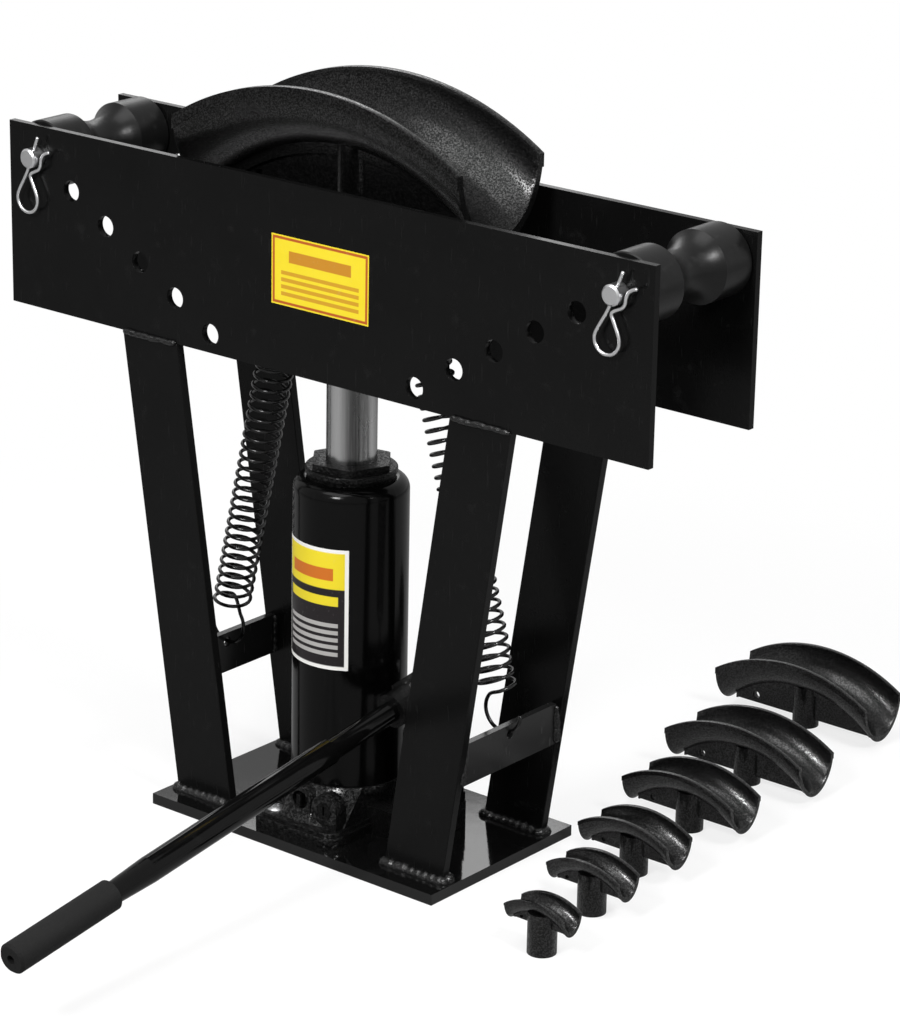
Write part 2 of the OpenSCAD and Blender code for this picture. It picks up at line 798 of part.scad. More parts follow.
module stud_collar() {
    color(cast_black) at_jack()
        ring(stud_radius, collar_radius, ram_top + spring_plate_thickness, die_seat);
}

// Dies: a half-round trough on an arc, a web under it and a post with a socket
function die_wall(pipe) = max(least_die_wall, 0.06 * pipe);
function rim_wall(pipe) = 1.2 * die_wall(pipe);
function rim_land(pipe) = 0.1 * pipe;
function die_rim(pipe) = rim_ratio * pipe;
function die_half(pipe) = half_length_ratio * pipe;
function trough_inner(pipe) = pipe / 2 + pipe_clearance;
function trough_outer(pipe) = trough_inner(pipe) + die_wall(pipe);
function rim_outer(pipe) = trough_inner(pipe) + rim_wall(pipe);
function trough_under(pipe) = die_rim(pipe) - trough_outer(pipe);
function arc_drop(pipe) = trough_under(pipe) - sqrt(pow(trough_under(pipe), 2) - pow(die_half(pipe), 2));
function post_length(pipe) = max(arc_drop(pipe) + post_below_trough, least_post);

// Half-round wall with a straight, thicker land along each rim
module trough_section(pipe) {
    outer = trough_outer(pipe);
    translate([die_rim(pipe), 0]) difference() {
        union() {
            intersection() {
                circle(outer);
                translate([-2 * outer, -outer]) square(2 * outer);
            }
            translate([-rim_land(pipe), -rim_outer(pipe)]) square([rim_land(pipe), 2 * rim_outer(pipe)]);
        }
        circle(trough_inner(pipe));
    }
}

// Drawn with the centre of the arc at the origin and the arc's middle at the top
module trough(pipe) {
    half = die_half(pipe);
    reach = rim_outer(pipe) + overlap;
    intersection() {
        rotate([90, 0, 0]) rotate([0, 0, 30]) rotate_extrude(angle = 120) trough_section(pipe);
        translate([-half, -reach, 0]) cube([2 * half, 2 * reach, die_rim(pipe) + overlap]);
    }
}

// Web under the trough, thicker in a band where it meets it
module web(pipe, chord) {
    half_width = die_half(pipe) * 0.9;
    thickness = max(least_web, 0.1 * pipe);
    band_thickness = thickness + 0.08 * pipe;
    band_height = 0.09 * pipe;
    translate([0, thickness / 2, 0]) rotate([90, 0, 0]) linear_extrude(thickness) difference() {
        web_outline(pipe, chord, half_width);
        translate([-half_width * 0.72, chord + 0.22 * arc_drop(pipe)])
            circle(max(least_web_hole, 0.07 * pipe));
    }
    translate([0, band_thickness / 2, 0]) rotate([90, 0, 0]) linear_extrude(band_thickness) difference() {
        web_outline(pipe, chord, half_width);
        circle(trough_under(pipe) - band_height);
    }
}

module web_outline(pipe, chord, half_width) {
    intersection() {
        circle(trough_under(pipe) + die_wall(pipe) / 2);
        translate([-half_width, chord]) square([2 * half_width, die_rim(pipe)]);
    }
}

// Drawn with the post's underside on the origin
module die(pipe, post) {
    bottom = trough_under(pipe) - post_length(pipe);
    chord = trough_under(pipe) - arc_drop(pipe) + 2;
    color(cast_black) translate([0, 0, -bottom]) difference() {
        union() {
            trough(pipe);
            web(pipe, chord);
            translate([0, 0, bottom]) cylinder(h = post_length(pipe) + die_wall(pipe) / 2, r = post);
        }
        rotate([90, 0, 0]) rotate([0, 0, 30]) rotate_extrude(angle = 120)
            translate([die_rim(pipe), 0]) circle(trough_inner(pipe));
        translate([0, 0, bottom - overlap])
            cylinder(h = stud_length + stud_chamfer + overlap, r = stud_radius + socket_clearance);
    }
}

module bending_die() {
    at_jack() translate([0, 0, die_seat]) die(main_pipe, post_radius);
}

module spare_die(i) {
    translate([spare_places[i][0], spare_places[i][1], 0]) die(spare_pipes[i], spare_post_radius);
}

// Return springs: hook through the crossbar, coils, hook over the spring plate's bridge
function low_hold(side) = [side * hook_hole_x, 0, low_hold_z];
function high_hold(side) = [jack_x + side * high_hold_x, jack_y, high_hold_z];
function coil_axis(side) = unit(high_hold(side) - low_hold(side));
function coil_out(side) = carried([side, 0, 0], coil_axis(side));
function coil_side(side) = cross(coil_axis(side), coil_out(side));
function coil_low(side) = low_hold(side) + (2 * low_hook_radius + low_hook_shank) * coil_axis(side);
function coil_high(side) = high_hold(side) - (2 * high_hook_radius + high_hook_shank) * coil_axis(side);
// A hook turns from its hold: negative turns to the free tip, positive turns to the coil
function hook_point(hold, radius, out, up, turn) = hold + radius * (up - sin(turn) * out - cos(turn) * up);
function hook_way(out, up, turn) = sin(turn) * up - cos(turn) * out;
function low_hook(side) = [for (turn = [-hook_tip_turn : hook_step : low_hook_turn])
    hook_point(low_hold(side), low_hook_radius, coil_out(side), coil_axis(side), turn)];
function high_hook(side) = [for (turn = [high_hook_turn : -hook_step : -hook_tip_turn])
    hook_point(high_hold(side), high_hook_radius, [-side, 0, 0], [0, 0, -1], turn)];
function coils(side) = let (rise = coil_high(side) - coil_low(side))
    [for (i = [0 : coil_rings]) let (a = coil_start + 360 * i / rings_per_coil)
        coil_low(side) + rise * i / coil_rings
            + coil_radius * (cos(a) * coil_out(side) + sin(a) * coil_side(side))];
function coil_way(side, a) = cos(a) * coil_side(side) - sin(a) * coil_out(side);
// Lead between hook and coil: a curve that leaves one end along from_way and reaches the other along to_way
function lead_point(from, from_way, to, to_way, u) = (2 * pow(u, 3) - 3 * pow(u, 2) + 1) * from
    + (pow(u, 3) - 2 * pow(u, 2) + u) * from_way + (3 * pow(u, 2) - 2 * pow(u, 3)) * to
    + (pow(u, 3) - pow(u, 2)) * to_way;
function lead(from, from_way, to, to_way) = [for (i = [1 : lead_steps - 1])
    lead_point(from, from_way, to, to_way, i / lead_steps)];
function low_lead(side, from, to) = lead(from,
    low_lead_pull * hook_way(coil_out(side), coil_axis(side), low_hook_turn), to,
    low_lead_pull * coil_way(side, coil_start));
function high_lead(side, from, to) = lead(from, high_lead_pull * coil_way(side, coil_end), to,
    -high_lead_pull * hook_way([-side, 0, 0], [0, 0, -1], high_hook_turn));
function spring_path(side) = let (low = low_hook(side), coil = coils(side), high = high_hook(side))
    concat(low, low_lead(side, low[len(low) - 1], coil[0]), coil,
        high_lead(side, coil[len(coil) - 1], high[0]), high);
function coil_gap(side) = let (p = coils(side)) min([for (i = [0 : len(p) - rings_per_coil - 1])
    norm(p[i + rings_per_coil] - p[i])]) - spring_wire;
echo(spring_gap_left = coil_gap(-1), spring_gap_right = coil_gap(1));

module spring(side) {
    color(cast_black) wire(spring_path(side), spring_wire / 2, spring_sides);
}

// Rollers, pins and clips
module at_roller(side) {
    translate([side * outer_hole_x, 0, outer_hole_z]) children();
}

module roller(side) {
    half = plate_inner - roller_end_gap;
    groove_half = half - roller_land;
    groove_depth = roller_radius - roller_waist;
    groove_radius = (pow(groove_half, 2) + pow(groove_depth, 2)) / (2 * groove_depth);
    color(cast_black) at_roller(side) rotate([-90, 0, 0]) rotate_extrude() difference() {
        polygon([[pin_hole_radius, -half], [roller_radius - roller_chamfer, -half],
            [roller_radius, -half + roller_chamfer], [roller_radius, half - roller_chamfer],
            [roller_radius - roller_chamfer, half], [pin_hole_radius, half]]);
        translate([roller_waist + groove_radius, 0]) circle(groove_radius);
    }
}

module roller_pin(side) {
    color(zinc) at_roller(side) difference() {
        union() {
            along_y(0, 0, pin_front + pin_chamfer, frame_width / 2, pin_radius);
            translate([0, pin_front + pin_chamfer, 0]) rotate([90, 0, 0])
                cylinder(h = pin_chamfer, r1 = pin_radius, r2 = pin_radius - pin_chamfer);
            along_y(0, 0, frame_width / 2, frame_width / 2 + pin_head_length, pin_head_radius);
        }
        translate([0, clip_y, 0]) rotate([0, clip_tilt, 0]) translate([0, 0, -pin_diameter])
            cylinder(h = 2 * pin_diameter, r = clip_wire / 2 + clip_hole_gap);
    }
}

// Hairpin clip in the plane of its two legs: straight leg through the pin, loop, leg bent round the pin
clip_straight_leg = [[0, clip_tip_height], [0, 10], [0, -10], [-0.5, -17], [-1.9, -26]];
clip_bent_leg = [[9.7, -20.5], [4.2, -15.3], [4.4, -12.2], [7.3, -8.6], [10.3, -5], [10.9, -1], [9.9, 3.2],
    [10.3, 8], [12.6, 11.6], [15.5, 14]];
function clip_loop() = [for (a = [165 : 30 : 405]) clip_loop_centre + clip_loop_radius * [cos(a), sin(a)]];
function clip_plan() = concat(clip_straight_leg, clip_loop(), clip_bent_leg);

module clip(side) {
    color(zinc) at_roller(side) translate([0, clip_y, 0]) rotate([0, clip_tilt, 0])
        wire([for (q = clip_plan()) [q[0], 0, q[1]]], clip_wire / 2, clip_sides);
}

base_plate();
front_side_plate();
rear_side_plate();
leg(-1, -1);  // front_left_leg
leg(1, -1);  // front_right_leg
leg(-1, 1);  // rear_left_leg
leg(1, 1);  // rear_right_leg
crossbar(-1);  // left_crossbar
crossbar(1);  // right_crossbar
jack_base();
jack_hold_down_screws();
reservoir();
reservoir_seal();
pressure_cylinder();
cap_nut();
wiper_seal();
filler_plug();
release_valve();
release_ball();
safety_plug();
safety_ball();
pump_cylinder();
pump_seal();
pump_plunger();
plunger_pin();
fulcrum_bracket();
fulcrum_pin();
handle_socket();
handle_bar();
handle_tube();
handle_grip();
ram();
piston_seal();
spring_plate();
stud_collar();
bending_die();
spring(-1);  // left_spring
spring(1);  // right_spring
roller(-1);  // left_roller
roller(1);  // right_roller
roller_pin(-1);  // left_roller_pin
roller_pin(1);  // right_roller_pin
clip(-1);  // left_clip
clip(1);  // right_clip
spare_die(0);  // spare_die_1
spare_die(1);  // spare_die_2
spare_die(2);  // spare_die_3
spare_die(3);  // spare_die_4
spare_die(4);  // spare_die_5
spare_die(5);  // spare_die_6
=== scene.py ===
# %% [markdown]
# # A hydraulic pipe bender, dressed for its picture
# The real tool is a welded steel frame with a bottle jack that pushes a cast die up between two rollers.
# Its shape and its joints come from a CAD frame that is already finished.
# This lesson adds what CAD leaves out: paint, cast skin, bright steel, weld beads, wound springs and labels.
# All sizes are metres, +Z is up, and every new piece is a numpy surface in the same frame as the CAD parts.

import json
import math

import bpy
import numpy as np
from mathutils import Matrix, Vector


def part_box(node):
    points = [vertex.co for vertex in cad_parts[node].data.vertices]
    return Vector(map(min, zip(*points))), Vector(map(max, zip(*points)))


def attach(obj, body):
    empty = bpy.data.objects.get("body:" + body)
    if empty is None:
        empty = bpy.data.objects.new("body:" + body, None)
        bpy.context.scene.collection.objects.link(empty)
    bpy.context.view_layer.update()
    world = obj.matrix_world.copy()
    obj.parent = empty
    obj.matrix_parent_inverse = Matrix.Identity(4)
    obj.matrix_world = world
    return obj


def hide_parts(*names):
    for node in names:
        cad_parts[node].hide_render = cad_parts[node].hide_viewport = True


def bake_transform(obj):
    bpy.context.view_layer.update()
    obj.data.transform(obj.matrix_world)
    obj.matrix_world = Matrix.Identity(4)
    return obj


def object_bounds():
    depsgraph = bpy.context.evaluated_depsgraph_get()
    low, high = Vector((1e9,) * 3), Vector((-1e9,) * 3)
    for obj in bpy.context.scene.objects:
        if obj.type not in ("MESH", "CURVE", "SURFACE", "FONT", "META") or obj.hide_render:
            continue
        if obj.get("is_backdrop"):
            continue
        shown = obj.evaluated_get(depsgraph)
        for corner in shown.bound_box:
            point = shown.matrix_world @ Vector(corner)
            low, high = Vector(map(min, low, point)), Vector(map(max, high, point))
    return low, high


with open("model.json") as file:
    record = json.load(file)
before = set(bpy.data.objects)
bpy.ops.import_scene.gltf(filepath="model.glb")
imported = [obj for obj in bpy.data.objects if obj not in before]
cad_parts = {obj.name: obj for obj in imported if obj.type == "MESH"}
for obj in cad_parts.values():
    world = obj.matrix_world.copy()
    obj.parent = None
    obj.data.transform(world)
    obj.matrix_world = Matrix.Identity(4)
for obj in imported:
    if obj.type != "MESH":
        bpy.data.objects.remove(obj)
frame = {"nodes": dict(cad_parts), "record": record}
nodes = frame["nodes"]
loaded_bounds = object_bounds()
print(len(nodes), "CAD nodes loaded")

# %% [markdown]
# ## Shader maths that reads like maths
# A material is a net of nodes, and wiring each node by hand hides what the net works out.
# So one small class wraps a socket: `2 * noise + 1` adds the two Math nodes that it stands for.
# Any other node, such as a texture or a colour mix, comes from the one method `make`.

# %% A value in a material


class Shade:
    """One number, colour or vector that flows through a node tree."""

    def __init__(self, tree, socket=None):
        self.tree = tree
        self.socket = socket

    def make(self, kind, inputs, output=0, **settings):
        """Adds a node of any kind: its settings first, then values or links; returns one of its outputs."""
        node = self.tree.nodes.new(kind)
        for name, value in settings.items():
            setattr(node, name, value)
        for key, value in inputs.items():
            if isinstance(value, Shade):
                self.tree.links.new(value.socket, node.inputs[key])
            else:
                node.inputs[key].default_value = value
        return Shade(self.tree, node.outputs[output])

    def maths(self, operation, first, second=0.0):
        """One Math node; an operation on one number leaves the second unused."""
        return self.make("ShaderNodeMath", {0: first, 1: second}, operation=operation)

    def __add__(self, other):
        return self.maths("ADD", self, other)

    def __radd__(self, other):
        return self.maths("ADD", other, self)

    def __sub__(self, other):
        return self.maths("SUBTRACT", self, other)

    def __rsub__(self, other):
        return self.maths("SUBTRACT", other, self)

    def __mul__(self, other):
        return self.maths("MULTIPLY", self, other)

    def __rmul__(self, other):
        return self.maths("MULTIPLY", other, self)

    def __truediv__(self, other):
        return self.maths("DIVIDE", self, other)

    def __rtruediv__(self, other):
        return self.maths("DIVIDE", other, self)

    def __abs__(self):
        return self.maths("ABSOLUTE", self)

    def larger(self, other):
        """Whichever of two values is the larger."""
        return self.maths("MAXIMUM", self, other)

    def step(self, low, high):
        """0 below low, 1 above high, and a smooth rise between them."""
        inputs = {"Value": self, "From Min": low, "From Max": high}
        return self.make("ShaderNodeMapRange", inputs, interpolation_type="SMOOTHSTEP")

    def mix(self, first, second):
        """The first colour where this value is 0, the second where it is 1."""
        inputs = {0: self, 6: first, 7: second}
        return self.make("ShaderNodeMix", inputs, output=2, data_type="RGBA")

    def stretch(self, x, y, z):
        """A vector with each axis multiplied by its own number."""
        return self.make("ShaderNodeVectorMath", {0: self, 1: (x, y, z)}, operation="MULTIPLY")

    def length(self):
        """A vector's length."""
        return self.make("ShaderNodeVectorMath", {0: self}, output=1, operation="LENGTH")

    def axis(self, name):
        """One coordinate of a vector, by its letter."""
        return self.make("ShaderNodeSeparateXYZ", {0: self}, output=name)

    def noise(self, scale, detail=3.0, roughness=0.55):
        """Cloudy noise from 0 to 1; scale is blobs per metre."""
        inputs = {"Vector": self, "Scale": scale, "Detail": detail, "Roughness": roughness}
        return self.make("ShaderNodeTexNoise", inputs)

    def cells(self, scale):
        """Distance to the nearest of many scattered points."""
        return self.make("ShaderNodeTexVoronoi", {"Vector": self, "Scale": scale})


print("a Shade adds its own nodes")

# %% [markdown]
# ## Begin and end a material
# Every finish reads Object coordinates, which are metres in the shared frame, so a pattern has a real size.
# At the other end the Principled shader takes colour, roughness and a bump.
# Two helpers do both ends, so that each finish below shows only what is special about it.

# %% Begin and end a material


def grey(level):
    """A neutral colour."""
    return (level, level, level, 1.0)


def start_material(name):
    """A new material and the Shade of its object coordinates."""
    material = bpy.data.materials.new(name)
    material.use_nodes = True
    return material, Shade(material.node_tree).make("ShaderNodeTexCoord", {}, output="Object")


def finish_material(material, bump, depth, **inputs):
    """Sets or links the Principled inputs by name and adds a bump of the given depth in metres."""
    tree = material.node_tree
    shader = tree.nodes["Principled BSDF"]
    relief = bump.make("ShaderNodeBump", {"Height": bump, "Distance": depth, "Strength": 1.0})
    tree.links.new(relief.socket, shader.inputs["Normal"])
    for name, value in inputs.items():
        socket = shader.inputs[name.replace("_", " ")]
        if isinstance(value, Shade):
            tree.links.new(value.socket, socket)
        else:
            socket.default_value = value
    return material


print("material helpers ready")

# %% [markdown]
# ## Sprayed enamel
# The frame, the tank and the handle are steel, sprayed black.
# One flat black would look like a hole in the picture, because real paint shows itself by its faults.
# So slow noise mottles the colour, stretched noise draws rub marks,
# and fine noise is the orange peel that a spray gun leaves.
# The tank is wiped clean, the base plate shines, and the crossbars' lighter grey is painted sheen.

# %% Enamel


def enamel(name, shade, gloss, shine, peel=0.00006):
    """Black paint: one grey with mottle, dust and rub marks; gloss is roughness, peel the bump's depth."""
    material, place = start_material(name)
    mottle = place.noise(14.0)
    rub = place.stretch(1.0, 1.0, 0.12).noise(420.0, 2.0).step(0.66, 0.72)
    dust = place.noise(60.0, 5.0).step(0.58, 0.82)
    paint = mottle.mix(grey(shade * 0.7), grey(shade * 1.3))
    colour = (dust * 0.5 + rub * 0.35).mix(paint, grey(shade * 2.0 + 0.004))
    rough = gloss * (0.8 + mottle * 0.5 + rub * 0.6 + dust * 0.5)
    relief = place.noise(650.0, 2.0) * 0.7 + place.noise(90.0, 2.0)
    return finish_material(
        material, relief, peel, Base_Color=colour, Roughness=rough, Specular_IOR_Level=shine)


FINE_PEEL = 0.00002
FRAME_ENAMEL = enamel("black_enamel", shade=0.004, gloss=0.22, shine=0.12)
TANK_ENAMEL = enamel("tank_enamel", shade=0.001, gloss=0.14, shine=0.16, peel=FINE_PEEL)
GLOSSY_ENAMEL = enamel("glossy_enamel", shade=0.003, gloss=0.06, shine=0.45, peel=FINE_PEEL)
HANDLE_ENAMEL = enamel("handle_enamel", shade=0.002, gloss=0.08, shine=0.22, peel=FINE_PEEL)
# The crossbars' paint is lighter than the frame's: painted sheen for the light that their faces catch.
BAR_SHEEN_ENAMEL = enamel("bar_sheen_enamel", shade=0.018, gloss=0.20, shine=0.25)
print("five enamels")

# %% [markdown]
# ## Sand-cast skin
# The dies, the jack's base, its cap nut and the pump are cast in sand, and paint does not hide the grain.
# Displacement could model every pimple, but at this size a bump is enough and adds no faces.
# The same noise weights a clear coat, so only the high grains flash: that is the glitter in a trough.
# Painted weld beads are lumpy in the same way and take this skin too.

# %% Cast skin


def cast_skin(name, shade, gloss, shine, coat, grain, sand=820.0):
    """Painted casting: pimples + 0.25 pits, sand of them per metre, grain deep, coated where they rise."""
    material, place = start_material(name)
    pimples = place.noise(sand, 2.0, 0.6)
    pits = place.cells(sand * 1.1).step(0.0, 0.5)
    mottle = place.noise(20.0)
    colour = pimples.step(0.40, 0.70).mix(grey(shade * 0.5), grey(shade * 2.2))
    rough = gloss + mottle * 0.08
    filled = pimples.step(0.40, 0.66) * coat
    relief = pimples + pits * 0.25
    return finish_material(
        material, relief, grain, Base_Color=colour, Roughness=rough, Specular_IOR_Level=shine,
        Coat_Weight=filled, Coat_Roughness=0.20)


COARSE_SAND = 480.0
CASTING_SKIN = cast_skin("black_casting", shade=0.003, gloss=0.18, shine=0.10, coat=0.2, grain=0.0008)
DIE_SKIN = cast_skin("die_skin", shade=0.003, gloss=0.22, shine=0.12, coat=0.9, grain=0.0003)
LOOSE_SKIN = cast_skin("loose_die_skin", shade=0.004, gloss=0.20, shine=0.25, coat=1.0, grain=0.00018)
NUT_SKIN = cast_skin(
    "nut_skin", shade=0.003, gloss=0.30, shine=0.10, coat=0.3, grain=0.0016, sand=COARSE_SAND)
BASE_SKIN = cast_skin(
    "base_skin", shade=0.003, gloss=0.26, shine=0.12, coat=1.0, grain=0.0016, sand=COARSE_SAND)
WELD_PAINT = cast_skin("painted_weld", shade=0.003, gloss=0.10, shine=0.30, coat=0.9, grain=0.0005)
print("six cast skins")

# %% [markdown]
# ## Turned and painted rollers
# The rollers are turned on a lathe and painted thinly, so fine tool rings run round them.
# The rings could be cut as geometry, but noise squeezed along the roller's axis gives them all in one node.
# Worn patches are paler and rougher, as paint is where pipes have rolled.

# %% Roller paint


def turned_paint(name, shade, gloss, shine):
    """Thin paint on a part turned round the Y axis: tool rings, and patches worn paler and rougher."""
    material, place = start_material(name)
    rings = place.stretch(0.2, 60.0, 0.2).noise(30.0, 3.0)
    worn = place.noise(110.0, 4.0).step(0.55, 0.8)
    colour = (worn * 0.7).mix(grey(shade), grey(shade * 3.0))
    rough = gloss + worn * 0.12 + rings * 0.08
    relief = rings + place.noise(700.0, 2.0) * 0.5
    return finish_material(
        material, relief, 0.00008, Base_Color=colour, Roughness=rough, Specular_IOR_Level=shine)


ROLLER_PAINT = turned_paint("roller_paint", shade=0.005, gloss=0.26, shine=0.24)
print("roller paint mixed")

# %% [markdown]
# ## Ground ram
# The ram is a ground steel rod, and a rod mirrors a room as upright bands of light and dark.
# Plain metal would mirror only the few lamps of this scene,
# so the bands are a painted reflection in its colour: a sine of the bearing round the rod's axis.
# Rings from grinding and a patchy film of oil then break them up, and streaks of wear roughen it
# and also add thin painted reflection lines to its colour.
# The jack's inner steel pieces share this finish.

# %% Ground steel
# The painted reflection's stripe count, the bearing that faces the camera, and the stripes' phase there.
REFLECTION_BAND_COUNT = 4
CAMERA_BEARING = -51.0
PHASE_AT_CAMERA = 250.0


def ground_steel(name, level):
    """Painted reflection round the ram: tone 0.35 + 0.45 sin(n a + p) + 0.4 streaks, a the bearing, n bands.
    """
    material, place = start_material(name)
    low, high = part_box("ram")
    x = place.axis("X") - (low.x + high.x) / 2
    y = place.axis("Y") - (low.y + high.y) / 2
    phase = math.radians(PHASE_AT_CAMERA - REFLECTION_BAND_COUNT * CAMERA_BEARING)
    bearing = x.maths("ARCTAN2", y, x)
    # The bands are painted reflection: lighter and darker stripes in the colour, set by bearing alone.
    reflection_bands = bearing.maths("SINE", bearing * REFLECTION_BAND_COUNT + phase)
    rings = place.stretch(0.4, 0.4, 40.0).noise(120.0, 2.0)
    # Streaks of wear roughen the rod, and they also add thin painted reflection lines to its colour.
    wear_and_reflection_streaks = place.stretch(9.0, 9.0, 0.25).noise(60.0, 3.0)
    oil = place.noise(24.0).step(0.4, 0.7)
    # tone is the painted reflection: stripes and streaks lighten or darken the steel's colour.
    tone = reflection_bands * 0.45 + wear_and_reflection_streaks * 0.4 + 0.35
    colour = tone.mix(grey(level * 0.06), grey(level))
    rough = 0.16 + wear_and_reflection_streaks * 0.14 + oil * 0.10
    return finish_material(material, rings, 0.00002, Base_Color=colour, Roughness=rough, Metallic=1.0)


BRIGHT_STEEL = ground_steel("ground_steel", level=0.62)
print(REFLECTION_BAND_COUNT, "bands round the ram")

# %% [markdown]
# ## Zinc plate
# Pins, clips and screws are zinc plated, which is bright, slightly blue and cloudy.
# A metal of one roughness looks like chrome, so the same cloud dulls both the colour and the gloss.

# %% Zinc


def zinc_plate(name, level):
    """Zinc from a clean grey to a bluish one by cloud and small dull spots, rougher where they are."""
    material, place = start_material(name)
    cloud = place.noise(90.0)
    spots = place.noise(800.0, 2.0).step(0.6, 0.75)
    bluish = (level * 0.8, level * 0.81, level * 0.84, 1.0)
    colour = (cloud * 0.6 + spots * 0.4).mix(grey(level), bluish)
    rough = 0.22 + cloud * 0.18 + spots * 0.2
    grain = place.noise(1200.0, 2.0)
    return finish_material(material, grain, 0.00003, Base_Color=colour, Roughness=rough, Metallic=1.0)


ZINC = zinc_plate("zinc_plate", level=0.78)
print("zinc plated")

# %% [markdown]
# ## Rubber
# The handle's grip, the seals and the filler plug are moulded rubber: dull, dark and finely grained.
# A high roughness alone looks like chalk, so the grain is a bump too, and a pale bloom lies in patches.

# %% Rubber


def rubber(name, shade):
    """Dark rubber, paler by half for bloom and half for grain, with the grain as its bump."""
    material, place = start_material(name)
    grain = place.noise(900.0, 3.0, 0.7)
    bloom = place.noise(45.0, 4.0).step(0.45, 0.8)
    colour = (bloom * 0.5 + grain.step(0.45, 0.7) * 0.5).mix(grey(shade), grey(shade * 2.4))
    rough = 0.62 + bloom * 0.16 + grain * 0.1
    return finish_material(
        material, grain, 0.0005, Base_Color=colour, Roughness=rough, Specular_IOR_Level=0.2)


SEAL_RUBBER = rubber("black_rubber", shade=0.012)
GRIP_RUBBER = rubber("grip_rubber", shade=0.006)
print("two rubbers")

# %% [markdown]
# ## Spring wire
# Springs are drawn wire, blackened in oil, so they are nearly black with sharp small highlights.
# Wire this thin shows no pattern, and a low roughness that changes along it is what the eye can see.

# %% Spring wire


def spring_wire(name, shade):
    """Dark oxide, paler and rougher where its noise is high."""
    material, place = start_material(name)
    oxide = place.noise(180.0, 4.0)
    colour = oxide.step(0.35, 0.8).mix(grey(shade), grey(shade * 3.0))
    rough = 0.10 + oxide * 0.16
    grain = place.noise(900.0, 2.0)
    return finish_material(
        material, grain, 0.00005, Base_Color=colour, Roughness=rough, Specular_IOR_Level=0.5)


SPRING_STEEL = spring_wire("spring_wire", shade=0.003)
print(len(bpy.data.materials), "materials in all")

# %% [markdown]
# ## Paint the CAD parts
# The record names a material slot for each CAD node, so one loop can paint them all by slot.
# A list of exceptions is asked first, for the pieces that look different from the rest of their slot.

# %% Paint the CAD parts
SLOT_FINISH = {
    "black_paint": FRAME_ENAMEL,
    "cast_black": CASTING_SKIN,
    "bright_steel": BRIGHT_STEEL,
    "zinc_steel": ZINC,
    "rubber": SEAL_RUBBER,
    "spring_steel": SPRING_STEEL,
}
OWN_FINISH = {
    "reservoir": TANK_ENAMEL,
    "base_plate": GLOSSY_ENAMEL,
    "handle_bar": HANDLE_ENAMEL,
    "handle_tube": HANDLE_ENAMEL,
    "left_crossbar": BAR_SHEEN_ENAMEL,
    "right_crossbar": BAR_SHEEN_ENAMEL,
    "left_roller": ROLLER_PAINT,
    "right_roller": ROLLER_PAINT,
    "handle_grip": GRIP_RUBBER,
    "cap_nut": NUT_SKIN,
    "jack_base": BASE_SKIN,
    "bending_die": DIE_SKIN,
}
SPARE_DIES = [name for name in nodes if name.startswith("spare_die")]
OWN_FINISH.update(dict.fromkeys(SPARE_DIES, LOOSE_SKIN))

for row in frame["record"]["subparts"]:
    name = row["node"]
    nodes[name].data.materials.clear()
    nodes[name].data.materials.append(OWN_FINISH.get(name, SLOT_FINISH[row["material_slot"]]))
print(len(OWN_FINISH), "of", len(nodes), "nodes have a finish of their own")

# %% [markdown]
# ## Break the hard edges
# A CAD solid ends in perfectly sharp edges, and cut plate or a casting never does.
# The small rounding catches the light as a thin line, and that line is what makes black steel readable.
# Modifiers do it without touching the CAD mesh: Weld joins the loose triangles,
# Decimate merges the flat ones, and Bevel rounds the edges that are left.

# %% Break the hard edges
PLATE_EDGE = 0.0008
CASTING_EDGE = 0.0007
SAME_POINT = 0.00001
FLAT_ANGLE = math.radians(0.5)
SHARP_ANGLE = math.radians(35)


def soften(node, width):
    """Breaks every edge sharper than 35 degrees with a bevel of two steps."""
    weld = node.modifiers.new("join_split_faces", "WELD")
    weld.merge_threshold = SAME_POINT
    flat = node.modifiers.new("merge_flat_faces", "DECIMATE")
    flat.decimate_type = "DISSOLVE"
    flat.angle_limit = FLAT_ANGLE
    bevel = node.modifiers.new("broken_edges", "BEVEL")
    bevel.width = width
    bevel.segments = 2
    bevel.limit_method = "ANGLE"
    bevel.angle_limit = SHARP_ANGLE
    bevel.harden_normals = True


PLATES = [name for name in nodes if name.endswith(("_plate", "_leg", "_crossbar"))]
CASTINGS = ["bending_die", *SPARE_DIES, "jack_base", "cap_nut"]
for name in PLATES:
    soften(nodes[name], PLATE_EDGE)
for name in CASTINGS:
    soften(nodes[name], CASTING_EDGE)
print(len(PLATES), "plates and", len(CASTINGS), "castings have broken edges")

# %% [markdown]
# ## Surfaces from formulas
# A surface is a grid of points: rows run one way, columns the other, and quads join the neighbours.
# numpy works out all the points at once, which is shorter and faster than placing vertices one by one.

# %% Grids and pieces


def grid_faces(rows, columns, closed):
    """Corner numbers of the quads between neighbouring rows and columns."""
    row = np.arange(rows - 1)[:, None]
    column = np.arange(columns if closed else columns - 1)[None, :]
    after = (column + 1) % columns
    here, below = row * columns, (row + 1) * columns
    corners = [here + column, here + after, below + after, below + column]
    return np.stack(corners, axis=-1).reshape(-1, 4).tolist()


def add_piece(name, points, faces, material, body=None):
    """A smooth-shaded mesh object with one material, parented to the empty of a body if one is named."""
    mesh = bpy.data.meshes.new(name)
    mesh.from_pydata(points.reshape(-1, 3), [], faces)
    mesh.materials.append(material)
    mesh.shade_smooth()
    piece = bpy.data.objects.new(name, mesh)
    bpy.context.scene.collection.objects.link(piece)
    if body:
        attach(piece, body)
    return piece


print("a grid of 3 by 3 points has", len(grid_faces(3, 3, False)), "faces")

# %% [markdown]
# ## Round wire
# Springs, clips and weld beads are all tubes: a ring of points carried along a path.
# A Blender curve with a round bevel would do for plain wire, but it can twist on tight coils.
# Here a reference direction, crossed with the path's own direction, keeps every ring from turning.

# %% Tubes


